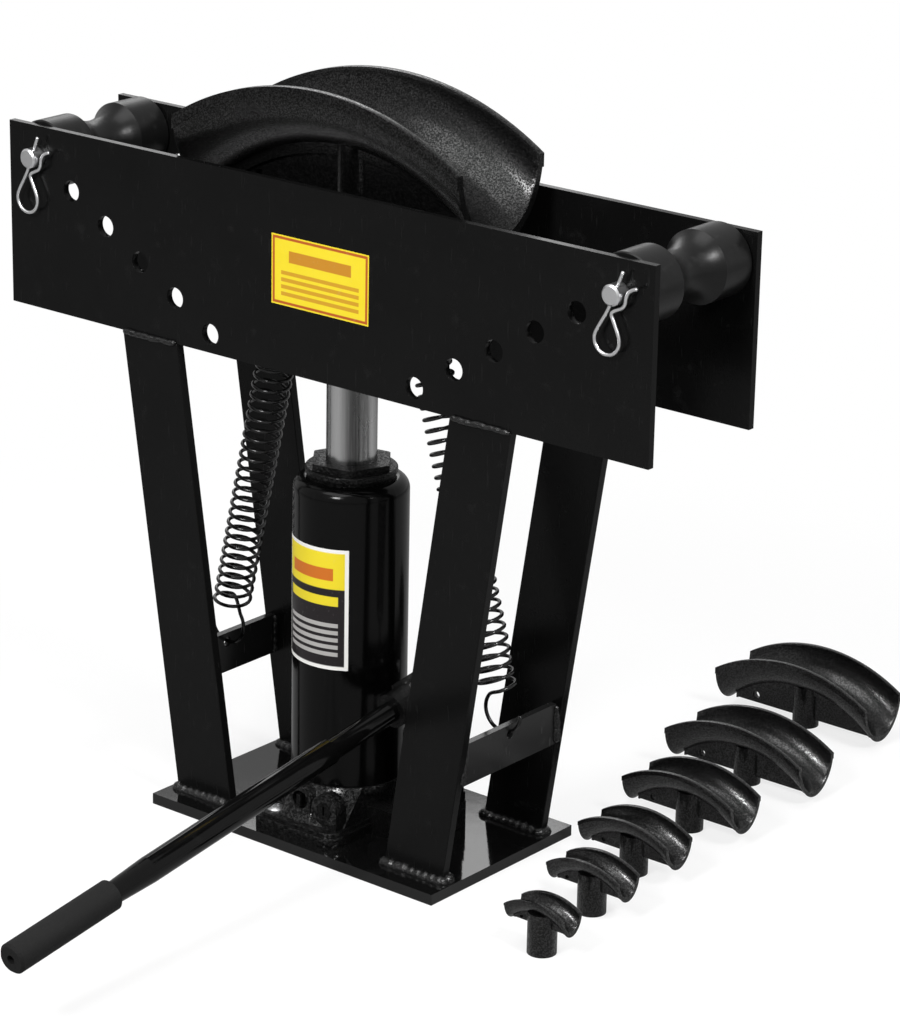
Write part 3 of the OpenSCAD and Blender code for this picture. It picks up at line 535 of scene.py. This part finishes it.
def unit(vectors):
    """Vectors divided by their lengths."""
    return vectors / np.linalg.norm(vectors, axis=-1, keepdims=True)


def tube_points(path, radius, sides, across):
    """Rings round a path p: p + r (cos a n + sin a b), with n = across x tangent and b = tangent x n."""
    tangent = unit(np.gradient(path, axis=0))
    normal = unit(np.cross(np.broadcast_to(across, path.shape), tangent))
    binormal = np.cross(tangent, normal)
    angle = np.linspace(0, 2 * np.pi, sides, endpoint=False)[None, :, None]
    ring = np.cos(angle) * normal[:, None] + np.sin(angle) * binormal[:, None]
    return path[:, None] + np.asarray(radius)[..., None] * ring


def tube_faces(rings, sides):
    """Side quads and the two flat ends of a tube."""
    first = list(range(sides))[::-1]
    last = list(range((rings - 1) * sides, rings * sides))
    return grid_faces(rings, sides, True) + [first, last]


print("a tube of 3 rings with 8 sides has", len(tube_faces(3, 8)), "faces")

# %% [markdown]
# ## Return springs: where they hold
# Two long springs pull the ram back down when the oil is let out.
# Each hooks into a hole in a crossbar and over a narrow bridge at one end of the ram's spring plate.
# The places are read from the CAD boxes, so the wire follows when the frame changes.

# %% Where the springs hold
WIRE_RADIUS = 0.0015
LOW_HOOK = {"radius": 0.017, "gap": 0.00135, "shank": 0.002, "turn": 135, "pull": 0.016}
HIGH_HOOK = {"radius": 0.013, "gap": 0.0007, "shank": 0.003, "turn": 105, "pull": 0.030}
BRIDGE = 0.006
HOOK_HOLE_DROP = 0.008
HOOK_HOLE_RADIUS = 0.004

plate_low, plate_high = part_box("spring_plate")


def spring_holds(side, crossbar):
    """Where the wire bears: in the crossbar's hole and on the spring plate's bridge."""
    bar_low, bar_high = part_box(crossbar)
    hole_top = bar_high.z - HOOK_HOLE_DROP + HOOK_HOLE_RADIUS
    low = np.array([(bar_low.x + bar_high.x) / 2, 0, hole_top - WIRE_RADIUS - LOW_HOOK["gap"]])
    bridge_x = (plate_high.x - BRIDGE / 2) if side > 0 else (plate_low.x + BRIDGE / 2)
    bridge_top = plate_high.z + WIRE_RADIUS + HIGH_HOOK["gap"]
    return low, np.array([bridge_x, (plate_low.y + plate_high.y) / 2, bridge_top])


left_low, left_high = spring_holds(-1, "left_crossbar")
print("the left spring spans", round(float(np.linalg.norm(left_high - left_low)), 3), "m")

# %% [markdown]
# ## Return springs: one wire
# A spring is a single wire: an open hook, a smooth lead, the coil, another lead and the second hook.
# A Screw modifier could wind the coil but could not run on into the hooks.
# So the path is one array of points: arc, Hermite curve, helix, Hermite curve, arc.

# %% Hooks and leads
TIP_TURN = -75
HOOK_STEPS = 48
LEAD_STEPS = 26


def hook(hold, size, outward, up):
    """Arc hold + R (up - sin t outward - cos t up) from the free tip to the coil, and the way it ends."""
    t = np.radians(np.linspace(TIP_TURN, size["turn"], HOOK_STEPS))[:, None]
    arc = hold + size["radius"] * (up - np.sin(t) * outward - np.cos(t) * up)
    return arc, np.sin(t[-1]) * up - np.cos(t[-1]) * outward


def lead(start, start_way, end, end_way):
    """Hermite curve: (2u^3-3u^2+1) p + (u^3-2u^2+u) v + (3u^2-2u^3) q + (u^3-u^2) w, without its ends."""
    u = np.linspace(0, 1, LEAD_STEPS)[1:-1, None]
    reach = (2 * u**3 - 3 * u**2 + 1) * start + (3 * u**2 - 2 * u**3) * end
    return reach + (u**3 - 2 * u**2 + u) * start_way + (u**3 - u**2) * end_way


print("a hook turns", LOW_HOOK["turn"] - TIP_TURN, "degrees at the crossbar")

# %% [markdown]
# ## Return springs: the coil
# The coil is a helix round the straight line between the two holds.
# It could be a tile repeated by an Array modifier, but then nothing would join it to the hooks.
# It begins and ends at chosen bearings, so that each lead leaves it smoothly.
# The tube's reference direction eases from sideways on the hooks to the spring's axis on the coil.

# %% The whole wire
COIL_RADIUS = 0.0145
COILS = 36
COIL_START, COIL_END = 315, 270
STEPS_PER_COIL = 24

winds = COILS + (COIL_END - COIL_START) / 360


def ease(value):
    """Smoothstep: 3t^2 - 2t^3 with t held between 0 and 1."""
    t = np.clip(value, 0, 1)
    return t * t * (3 - 2 * t)


def spring_path(side, crossbar):
    """Hook, lead, helix c(s) + R (cos a u + sin a v), lead and hook, and the tube's reference direction."""
    low_hold, high_hold = spring_holds(side, crossbar)
    axis = unit(high_hold - low_hold)
    upward, away = np.array([0.0, 0, 1]), np.array([side, 0.0, 0])
    outward = unit(away - away @ axis * axis)
    sideways = np.cross(axis, outward)
    first = low_hold + axis * (2 * LOW_HOOK["radius"] + LOW_HOOK["shank"])
    last = high_hold - axis * (2 * HIGH_HOOK["radius"] + HIGH_HOOK["shank"])
    wind = np.linspace(0, winds, round(winds * STEPS_PER_COIL) + 1)[:, None]
    a = np.radians(COIL_START + 360 * wind)
    centre = first + (last - first) * wind / winds
    coil = centre + COIL_RADIUS * (np.cos(a) * outward + np.sin(a) * sideways)
    way = np.cos(a) * sideways - np.sin(a) * outward
    low, low_way = hook(low_hold, LOW_HOOK, outward, axis)
    high, high_way = hook(high_hold, HIGH_HOOK, -away, -upward)
    rise = lead(low[-1], LOW_HOOK["pull"] * low_way, coil[0], LOW_HOOK["pull"] * way[0])
    leave = lead(coil[-1], HIGH_HOOK["pull"] * way[-1], high[-1], -HIGH_HOOK["pull"] * high_way)
    path = np.vstack([low, rise, coil, leave, high[::-1]])
    index = np.arange(len(path))
    wound = ease((index - len(low)) / len(rise))
    unwound = ease((index - len(path) + len(high) + len(leave)) / len(leave))
    coiled = wound * (1 - unwound)
    return path, unit(np.outer(1 - coiled, sideways) + np.outer(coiled, axis))


print(len(spring_path(-1, "left_crossbar")[0]), "points along one spring")

# %% [markdown]
# ## Return springs: wind them
# On the real tool the low hook stays with the frame and the high hook rides on the ram,
# so the wire stretches when the ram lifts; here it is one fixed tube.
# Each piece stands for its CAD spring, which stays in the motion model as a simpler shape.

# %% Wind the springs
SPRING_SIDES = 10

for side, label in ((-1, "left"), (1, "right")):
    path, across = spring_path(side, label + "_crossbar")
    rings = tube_points(path, np.full((len(path), 1), WIRE_RADIUS), SPRING_SIDES, across)
    faces = tube_faces(len(path), SPRING_SIDES)
    spring = add_piece(label + "_spring_wire", rings, faces, SPRING_STEEL)
    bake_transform(spring)
    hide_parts(label + "_spring")
print("two springs wound,", COILS, "coils each")

# %% [markdown]
# ## Hairpin clips
# A hairpin clip keeps each roller pin in place.
# One leg goes straight through the pin and the other bends round it.
# It could be drawn as a Bezier curve by hand, but a short list of points is easier to read and to change.
# A smooth curve runs through the points, an arc makes the loop, and the tube turns it into round wire.

# %% The clip's plan
STRAIGHT_LEG = [[0, 19], [0, 10], [0, 0], [0, -10], [-0.5, -17], [-1.9, -26]]
LOOP_CENTRE, LOOP_RADIUS = (8, -34), 11
LOOP_BEARINGS = np.arange(165, 406, 30)
BENT_LEG = [[9.7, -20.5], [4.2, -15.3], [4.4, -12.2], [7.3, -8.6], [10.3, -5]]
BENT_LEG += [[10.9, -1], [9.9, 3.2], [10.3, 8], [12.6, 11.6], [15.5, 14]]
STEPS_PER_SPAN = 8
MM_PER_METRE = 1000


def smooth_path(points, steps):
    """Catmull-Rom curve: each span is p1 + t/2 (p2-p0) + t^2/2 (2p0-5p1+4p2-p3) + t^3/2 (3p1-p0-3p2+p3)."""
    p = np.asarray(points, float)
    padded = np.vstack([2 * p[0] - p[1], p, 2 * p[-1] - p[-2]])
    p0, p1, p2, p3 = (padded[i : len(padded) - 3 + i, None] for i in range(4))
    t = np.linspace(0, 1, steps, endpoint=False)[None, :, None]
    bend = t**2 / 2 * (2 * p0 - 5 * p1 + 4 * p2 - p3)
    spans = p1 + t / 2 * (p2 - p0) + bend + t**3 / 2 * (3 * p1 - p0 - 3 * p2 + p3)
    return np.vstack([spans.reshape(-1, p.shape[1]), p[-1:]])


def clip_plan():
    """Straight leg, loop c + R (cos a, sin a) and bent leg, drawn in millimetres from the pin's axis."""
    a = np.radians(LOOP_BEARINGS)[:, None]
    loop = np.array(LOOP_CENTRE) + LOOP_RADIUS * np.hstack([np.cos(a), np.sin(a)])
    return smooth_path(np.vstack([STRAIGHT_LEG, loop, BENT_LEG]), STEPS_PER_SPAN) / MM_PER_METRE


print(len(clip_plan()), "points along one clip")

# %% [markdown]
# ## Hairpin clips: set them on the pins
# The plan is flat, so it only has to be tilted and set on each roller's pin.
# Turning the object would be the quick way, but every object here stays unturned in the shared frame.
# So the points themselves are turned by sine and cosine.

# %% Bend the clips
CLIP_RADIUS = 0.0014
CLIP_TILT = math.radians(22)
CLIP_SIDES = 12


def clip_path(node):
    """The plan turned by the tilt and set on the pin of one roller."""
    low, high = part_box(node + "_roller")
    front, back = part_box(node + "_clip")
    middle = np.array([(low.x + high.x) / 2, (front.y + back.y) / 2, (low.z + high.z) / 2])
    plan = clip_plan()
    x = plan[:, 0] * math.cos(CLIP_TILT) + plan[:, 1] * math.sin(CLIP_TILT)
    z = plan[:, 1] * math.cos(CLIP_TILT) - plan[:, 0] * math.sin(CLIP_TILT)
    return middle + np.stack([x, np.zeros(len(plan)), z], axis=-1)


for label in ("left", "right"):
    path = clip_path(label)
    width = np.full((len(path), 1), CLIP_RADIUS)
    rings = tube_points(path, width, CLIP_SIDES, np.array([0.0, 1.0, 0.0]))
    faces = tube_faces(len(path), CLIP_SIDES)
    clip = add_piece(label + "_clip_wire", rings, faces, ZINC, label + "_clip")
    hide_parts(label + "_clip")
print("two clips bent")

# %% [markdown]
# ## Weld beads: one bead
# The frame is welded by hand, and a hand weld looks like a row of overlapping coins.
# A bump map could fake the ripple, but the bead's outline shows against the base, so it is geometry.
# The bead is a tube whose radius ripples along the way, with a little seeded chance in its size and place.

# %% One bead
BEAD_PITCH = 0.0070
BEAD_STEP = 0.0006
BEAD_SIDES = 14
SIZE_CHANCE = 0.16
PLACE_CHANCE = 0.0006
BLUNT_END = 0.05
LEAN = np.array([0.31, 0.17, 0.93])
ROUNDING = 4
SEED = 7
chance = np.random.default_rng(SEED)


def walk(corners):
    """Points every BEAD_STEP along straight runs between corners, each averaged with its neighbours."""
    corners = np.asarray(corners, float)
    along = np.concatenate([[0], np.cumsum(np.linalg.norm(np.diff(corners, axis=0), axis=1))])
    t = np.arange(0, along[-1], BEAD_STEP)
    line = np.stack([np.interp(t, along, corners[:, k]) for k in range(3)], axis=-1)
    padded = np.pad(line, ((ROUNDING, ROUNDING), (0, 0)), mode="edge")
    return t, np.mean([padded[k : k + len(line)] for k in range(2 * ROUNDING + 1)], axis=0)


def bead(corners, size):
    """Tube of radius R (0.88 + 0.12 sin^2 f + wobble), f the ripple angle, that rounds off at both ends."""
    t, path = walk(corners)
    ripple = np.sin(np.pi * t / BEAD_PITCH)
    knots = np.arange(0, t[-1] + BEAD_PITCH, BEAD_PITCH)
    wobble = np.interp(t, knots, chance.uniform(-SIZE_CHANCE, SIZE_CHANCE, len(knots)))
    wander = np.interp(t, knots, chance.uniform(-PLACE_CHANCE, PLACE_CHANCE, len(knots)))
    radius = size * (0.88 + 0.12 * ripple**2 + wobble)
    radius = radius * np.sqrt(np.clip(np.minimum(t, t[-1] - t) / size, BLUNT_END, 1))
    rings = tube_points(path + wander[:, None] * LEAN, radius[:, None], BEAD_SIDES, LEAN)
    return rings, len(path)


print("one coin every", BEAD_PITCH * MM_PER_METRE, "mm")

# %% [markdown]
# ## Weld beads: along the joints
# Each leg is welded to the base all round its foot and to a side plate along both faces of its top.
# The crossbars are welded up their four corners.
# The joint lines are read from the CAD legs and bars, so no bead floats beside its joint.

# %% Weld the frame
FOOT_BEAD, TOP_BEAD, BAR_BEAD = 0.0060, 0.0026, 0.0036
LEVEL_GAP = 0.0005


def leg_joints(leg):
    """A bead round the foot of one leg, and one along each face at its top."""
    low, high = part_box(leg)
    corners = np.array([v.co for v in nodes[leg].data.vertices])
    foot = corners[np.abs(corners[:, 2] - low.z) < LEVEL_GAP, 0]
    top = corners[np.abs(corners[:, 2] - high.z) < LEVEL_GAP, 0]
    left, right = foot.min(), foot.max()
    middle = (left + right) / 2
    ring = [(right, high.y), (right, low.y), (left, low.y), (left, high.y)]
    loop = [(middle, high.y), *ring, (middle, high.y)]
    faces = [[(top.min(), y, high.z), (top.max(), y, high.z)] for y in (low.y, high.y)]
    return [([(x, y, low.z) for x, y in loop], FOOT_BEAD)] + [(line, TOP_BEAD) for line in faces]


def crossbar_joints(bar):
    """Upright beads at both ends of one crossbar, on both of its faces."""
    low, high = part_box(bar)
    return [([(x, y, low.z), (x, y, high.z)], BAR_BEAD) for x in (low.x, high.x) for y in (low.y, high.y)]


LEGS = [row + "_" + side + "_leg" for row in ("front", "rear") for side in ("left", "right")]
joints = [joint for leg in LEGS for joint in leg_joints(leg)]
joints += [joint for bar in ("left_crossbar", "right_crossbar") for joint in crossbar_joints(bar)]
for number, (corners, size) in enumerate(joints, 1):
    rings, count = bead(corners, size)
    weld = add_piece(f"weld_bead_{number}", rings, tube_faces(count, BEAD_SIDES), WELD_PAINT, "frame")
print(len(joints), "weld beads run")

# %% [markdown]
# ## Labels: a film with its own map
# Two printed labels sit on the paint: a flat one on the front plate and one wrapped round the jack.
# An image texture would be the usual way, but plain fields need only maths on a UV map.
# Each label is a fine grid a hair above the paint, and its UV map runs from 0 to 1 both ways.

# %% Label film


def label_piece(name, points, material):
    """A thin grid on the frame, with u = column / last column and v = row / last row."""
    rows, columns = points.shape[:2]
    piece = add_piece(name, points, grid_faces(rows, columns, False), material)
    layer = piece.data.uv_layers.new(name="UVMap")
    corner = np.zeros(len(piece.data.loops), np.int32)
    piece.data.loops.foreach_get("vertex_index", corner)
    spots = np.stack([corner % columns / (columns - 1), corner // columns / (rows - 1)], axis=-1)
    layer.data.foreach_set("uv", spots.astype(np.float32).ravel())
    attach(piece, "frame")
    return piece


def label_coords(name):
    """A new material with its object coordinates and its two label coordinates."""
    material, place = start_material(name)
    uv = place.make("ShaderNodeUVMap", {}, uv_map="UVMap")
    return material, place, uv.axis("X"), uv.axis("Y")


print("label film ready")

# %% [markdown]
# ## Labels: fields, borders and bars
# A field is a smooth step in u times one in v, and bars are the fraction of a stretched v.
# The print lies under a glossy film, faintly wavy and scuffed, so that it does not look like a screen.

# %% Fields and bars
BLUR_U, BLUR_V = 0.004, 0.006


def inside(u, v, edge_u, edge_v):
    """1 inside a rectangle that stands in from the label's edges."""
    across = (0.5 - abs(u - 0.5)).step(edge_u - BLUR_U, edge_u + BLUR_U)
    return across * (0.5 - abs(v - 0.5)).step(edge_v - BLUR_V, edge_v + BLUR_V)


def bars(u, v, low, high, count, edge):
    """Level bars: where |fraction(count (v - low) / (high - low)) - 1/2| is small, in from the edges."""
    stripe = (v - low) * (count / (high - low))
    gap = abs(stripe.maths("FRACT", stripe) - 0.5)
    band = v.step(low, low + BLUR_U) * (1.0 - v.step(high - BLUR_U, high))
    width = (0.5 - abs(u - 0.5)).step(edge - BLUR_U, edge + BLUR_U)
    return band * width * (1.0 - gap.step(0.26, 0.30))


def printed(material, place, colour):
    """Glossy printed film: the colour, a little greyed by scuffs, under a slightly wavy face."""
    scuff = place.noise(300.0, 4.0).step(0.6, 0.8)
    faded = (scuff * 0.12).mix(colour, grey(0.5))
    rough = 0.32 + place.noise(50.0) * 0.12 + scuff * 0.2
    return finish_material(
        material, place.noise(70.0, 2.0), 0.00008,
        Base_Color=faded, Roughness=rough, Specular_IOR_Level=0.2)


print("label print ready")

# %% [markdown]
# ## Labels: the two prints
# The plate's label is yellow with a red-brown border line and bars.
# The jack's is a yellow field above a black one, in a white border.
# Each colour is mixed over the one before it, as a printer lays one ink over another.

# %% The two prints
YELLOW_PALE, YELLOW_DEEP = (0.86, 0.70, 0.04, 1), (0.80, 0.62, 0.02, 1)
RED_BROWN = (0.45, 0.10, 0.02, 1)
BLACK_WARM, BLACK_PALE = (0.012, 0.010, 0.011, 1), (0.020, 0.017, 0.018, 1)
JACK_YELLOW, BAR_YELLOW = (0.84, 0.68, 0.03, 1), (0.80, 0.66, 0.03, 1)
ORANGE = (0.60, 0.16, 0.02, 1)
BAR_GREY = (0.70, 0.68, 0.66, 1)
BORDER_WHITE = (0.88, 0.87, 0.84, 1)


def plate_print():
    """Yellow field, a border line between two rectangles, one thick bar and four thin ones."""
    material, place, u, v = label_coords("plate_label")
    yellow = place.noise(30.0).mix(YELLOW_DEEP, YELLOW_PALE)
    border = inside(u, v, 0.012, 0.022) * (1.0 - inside(u, v, 0.034, 0.060))
    ink = border + bars(u, v, 0.56, 0.86, 1, 0.18) * 0.75 + bars(u, v, 0.12, 0.52, 4, 0.10) * 0.6
    return printed(material, place, ink.mix(yellow, RED_BROWN))


def jack_print():
    """White border round a yellow field above a black one, each with its own bars."""
    material, place, u, v = label_coords("jack_label")
    dark = place.noise(40.0).mix(BLACK_WARM, BLACK_PALE)
    field = v.step(0.665, 0.675).mix(dark, JACK_YELLOW)
    field = bars(u, v, 0.70, 0.88, 1, 0.18).mix(field, ORANGE)
    field = bars(u, v, 0.50, 0.64, 1, 0.12).mix(field, BAR_YELLOW)
    field = (bars(u, v, 0.10, 0.40, 5, 0.12) * 0.6).mix(field, BAR_GREY)
    return printed(material, place, inside(u, v, 0.045, 0.030).mix(BORDER_WHITE, field))


print("two prints defined")

# %% [markdown]
# ## Labels: stick them on
# The plate's label is a plain grid in X and Z; the jack's bends the same grid round the tank's axis.
# Both take their surface from the CAD boxes and stand off by a fifth of a millimetre.

# %% Stick the labels
LABEL_LIFT = 0.0002
PLATE_LABEL_X = (-0.039, 0.058)
PLATE_LABEL_Z = (0.4395, 0.4945)
JACK_LABEL_BEARING = (-137, -51)
JACK_LABEL_Z = (0.147, 0.247)
PLATE_COLUMNS, PLATE_ROWS = 9, 7
JACK_COLUMNS, JACK_ROWS = 49, 9

plate_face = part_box("front_side_plate")[0].y - LABEL_LIFT
x, z = np.meshgrid(np.linspace(*PLATE_LABEL_X, PLATE_COLUMNS), np.linspace(*PLATE_LABEL_Z, PLATE_ROWS))
flat = np.stack([x, np.full_like(x, plate_face), z], axis=-1)
label_piece("plate_label", flat, plate_print())

tank_low, tank_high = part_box("reservoir")
tank_middle = (tank_low + tank_high) / 2
tank_radius = (tank_high.x - tank_low.x) / 2 + LABEL_LIFT
turns = np.radians(np.linspace(*JACK_LABEL_BEARING, JACK_COLUMNS))
bearing, z = np.meshgrid(turns, np.linspace(*JACK_LABEL_Z, JACK_ROWS))
x = tank_middle.x + tank_radius * np.cos(bearing)
y = tank_middle.y + tank_radius * np.sin(bearing)
label_piece("jack_label", np.stack([x, y, z], axis=-1), jack_print())
print("two labels placed")

# %% [markdown]
# ## Floor
# The picture stands on white with soft shadows, as in a photo studio.
# A truly white, brightly lit floor would throw its light back at the black paint and wash it out.
# A Light Path node tells one kind of ray from another,
# so the camera sees white while reflections see a dim grey.
# Far from the object the floor turns plain white, so no edge shows against the world behind it.

# %% Floor
SEEN_WHITE = 0.75
GLOSS_WHITE = 0.12
FLOOR_SEEN, FLOOR_LIT = 0.90, 0.25
SHADOW_NEAR, SHADOW_FAR = 0.5, 1.0
FLOOR_HALF, FLOOR_DROP = 6.0, 0.0003


def ray_is(tree, kind):
    """1 for rays of one kind and 0 for all others."""
    return Shade(tree).make("ShaderNodeLightPath", {}, output=kind)


def shown_white(tree):
    """How much of the white backdrop a ray sees: most for the camera, some for reflections."""
    clear = ray_is(tree, "Is Camera Ray").larger(ray_is(tree, "Is Transmission Ray")) * SEEN_WHITE
    return clear.larger(ray_is(tree, "Is Glossy Ray") * GLOSS_WHITE)


def pale_floor():
    """White to the camera with soft shadows, a dim grey to everything else."""
    material, place = start_material("pale_floor")
    tree = material.node_tree
    direct = ray_is(tree, "Is Camera Ray")
    tone = direct.mix(grey(FLOOR_LIT), grey(FLOOR_SEEN))
    finish_material(material, place.noise(80.0), 0.0002, Base_Color=tone, Roughness=0.9)
    painted = Shade(tree, tree.nodes["Principled BSDF"].outputs[0])
    glow = place.make("ShaderNodeEmission", {"Color": grey(1.0)})
    far = place.length().step(SHADOW_NEAR, SHADOW_FAR)
    seen = shown_white(tree) + direct * far * (1.0 - SEEN_WHITE)
    mixed = seen.make("ShaderNodeMixShader", {0: seen, 1: painted, 2: glow})
    tree.links.new(mixed.socket, tree.nodes["Material Output"].inputs["Surface"])
    return material


square = np.array([[-1, -1, 0], [1, -1, 0], [1, 1, 0], [-1, 1, 0]]) * FLOOR_HALF - [0, 0, FLOOR_DROP]
floor = add_piece("floor", square, [[0, 1, 2, 3]], pale_floor())
floor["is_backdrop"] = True
print("floor", 2 * FLOOR_HALF, "m wide")

# %% [markdown]
# ## World
# The world is the room round the object: white to the camera, and an even grey that fills the shadows.
# A picture of a real room would bring reflections of its own, and one even tone leaves those to the lamps.

# %% World
ROOM_GREY = 0.45

world = bpy.data.worlds.new("studio")
bpy.context.scene.world = world
world.use_nodes = True
background = world.node_tree.nodes["Background"]
room = (shown_white(world.node_tree) / SEEN_WHITE).mix(grey(ROOM_GREY), grey(1.0))
world.node_tree.links.new(room.socket, background.inputs["Color"])
background.inputs["Strength"].default_value = 1.0
print("room grey", ROOM_GREY)

# %% [markdown]
# ## Lamps
# Black paint shows little but reflections, so each lamp is placed for the streak that it leaves.
# The large one overhead fills the die's trough, and the others draw the lines on tank and rollers.
# Area lamps are used because a soft box has a size, and the size is what a highlight shows.

# %% Lamps
CENTRE = Vector((0.05, 0.0, 0.28))


def soft_box(name, azimuth, elevation, distance, width, height, power):
    """A rectangular lamp at centre + d (sin a cos e, -cos a cos e, sin e), looking at the centre."""
    a, e = math.radians(azimuth), math.radians(elevation)
    away = Vector((math.sin(a) * math.cos(e), -math.cos(a) * math.cos(e), math.sin(e)))
    data = bpy.data.lights.new(name, "AREA")
    data.shape = "RECTANGLE"
    data.size = width
    data.size_y = height
    data.energy = power
    lamp = bpy.data.objects.new(name, data)
    lamp.location = CENTRE + away * distance
    lamp.rotation_euler = away.to_track_quat("Z", "Y").to_euler()
    bpy.context.scene.collection.objects.link(lamp)


soft_box("key_left", azimuth=6, elevation=38, distance=2.6, width=0.55, height=0.55, power=42)
soft_box("key_right", azimuth=80, elevation=40, distance=2.4, width=0.45, height=0.45, power=34)
soft_box("overhead", azimuth=-15, elevation=74, distance=2.4, width=1.6, height=1.8, power=28)
soft_box("rim_left", azimuth=-134, elevation=26, distance=2.4, width=1.0, height=0.7, power=4.5)
print(len(bpy.data.lights), "soft boxes")

# %% [markdown]
# ## Camera
# The camera stands where the photograph was taken from: a bearing, a height angle, a roll and a distance.
# A Track To constraint could aim it but could not roll it, so its axes are worked out with cross products.
# They become the columns of its rotation.

# %% Camera
AZIMUTH = math.radians(39.0)
ELEVATION = math.radians(19.29)
ROLL = math.radians(1.07)
DISTANCE = 2.89307
TARGET = Vector((0.08709, 0.0, 0.27937))
FOCAL_PIXELS = 3763.34
IMAGE_WIDTH = 900
SENSOR_WIDTH = 36.0

back = Vector((
    math.sin(AZIMUTH) * math.cos(ELEVATION),
    -math.cos(AZIMUTH) * math.cos(ELEVATION),
    math.sin(ELEVATION),
))
level_right = Vector((0, 0, 1)).cross(back).normalized()
level_up = back.cross(level_right)
right = level_right * math.cos(ROLL) + level_up * math.sin(ROLL)
up = back.cross(right)
camera_data = bpy.data.cameras.new("camera")
camera_data.sensor_fit = "HORIZONTAL"
camera_data.sensor_width = SENSOR_WIDTH
camera_data.lens = FOCAL_PIXELS / IMAGE_WIDTH * SENSOR_WIDTH
camera = bpy.data.objects.new("camera", camera_data)
turn = Matrix((right, up, back)).transposed().to_4x4()
camera.matrix_world = Matrix.Translation(TARGET + back * DISTANCE) @ turn
bpy.context.scene.collection.objects.link(camera)
bpy.context.scene.camera = camera
bpy.context.scene.view_settings.view_transform = "Standard"
print("camera at", [round(value, 3) for value in camera.location])

# %% [markdown]
# ## Overall size
# The dressed object should keep the CAD's outer size, so its size is measured before and after, and printed.

# %% Overall size
final_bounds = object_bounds()
sizes = {"loaded": loaded_bounds, "final": final_bounds}
sizes = {name: [list(corner) for corner in corners] for name, corners in sizes.items()}
print("overall size", [round(b - a, 4) for a, b in zip(*final_bounds)])
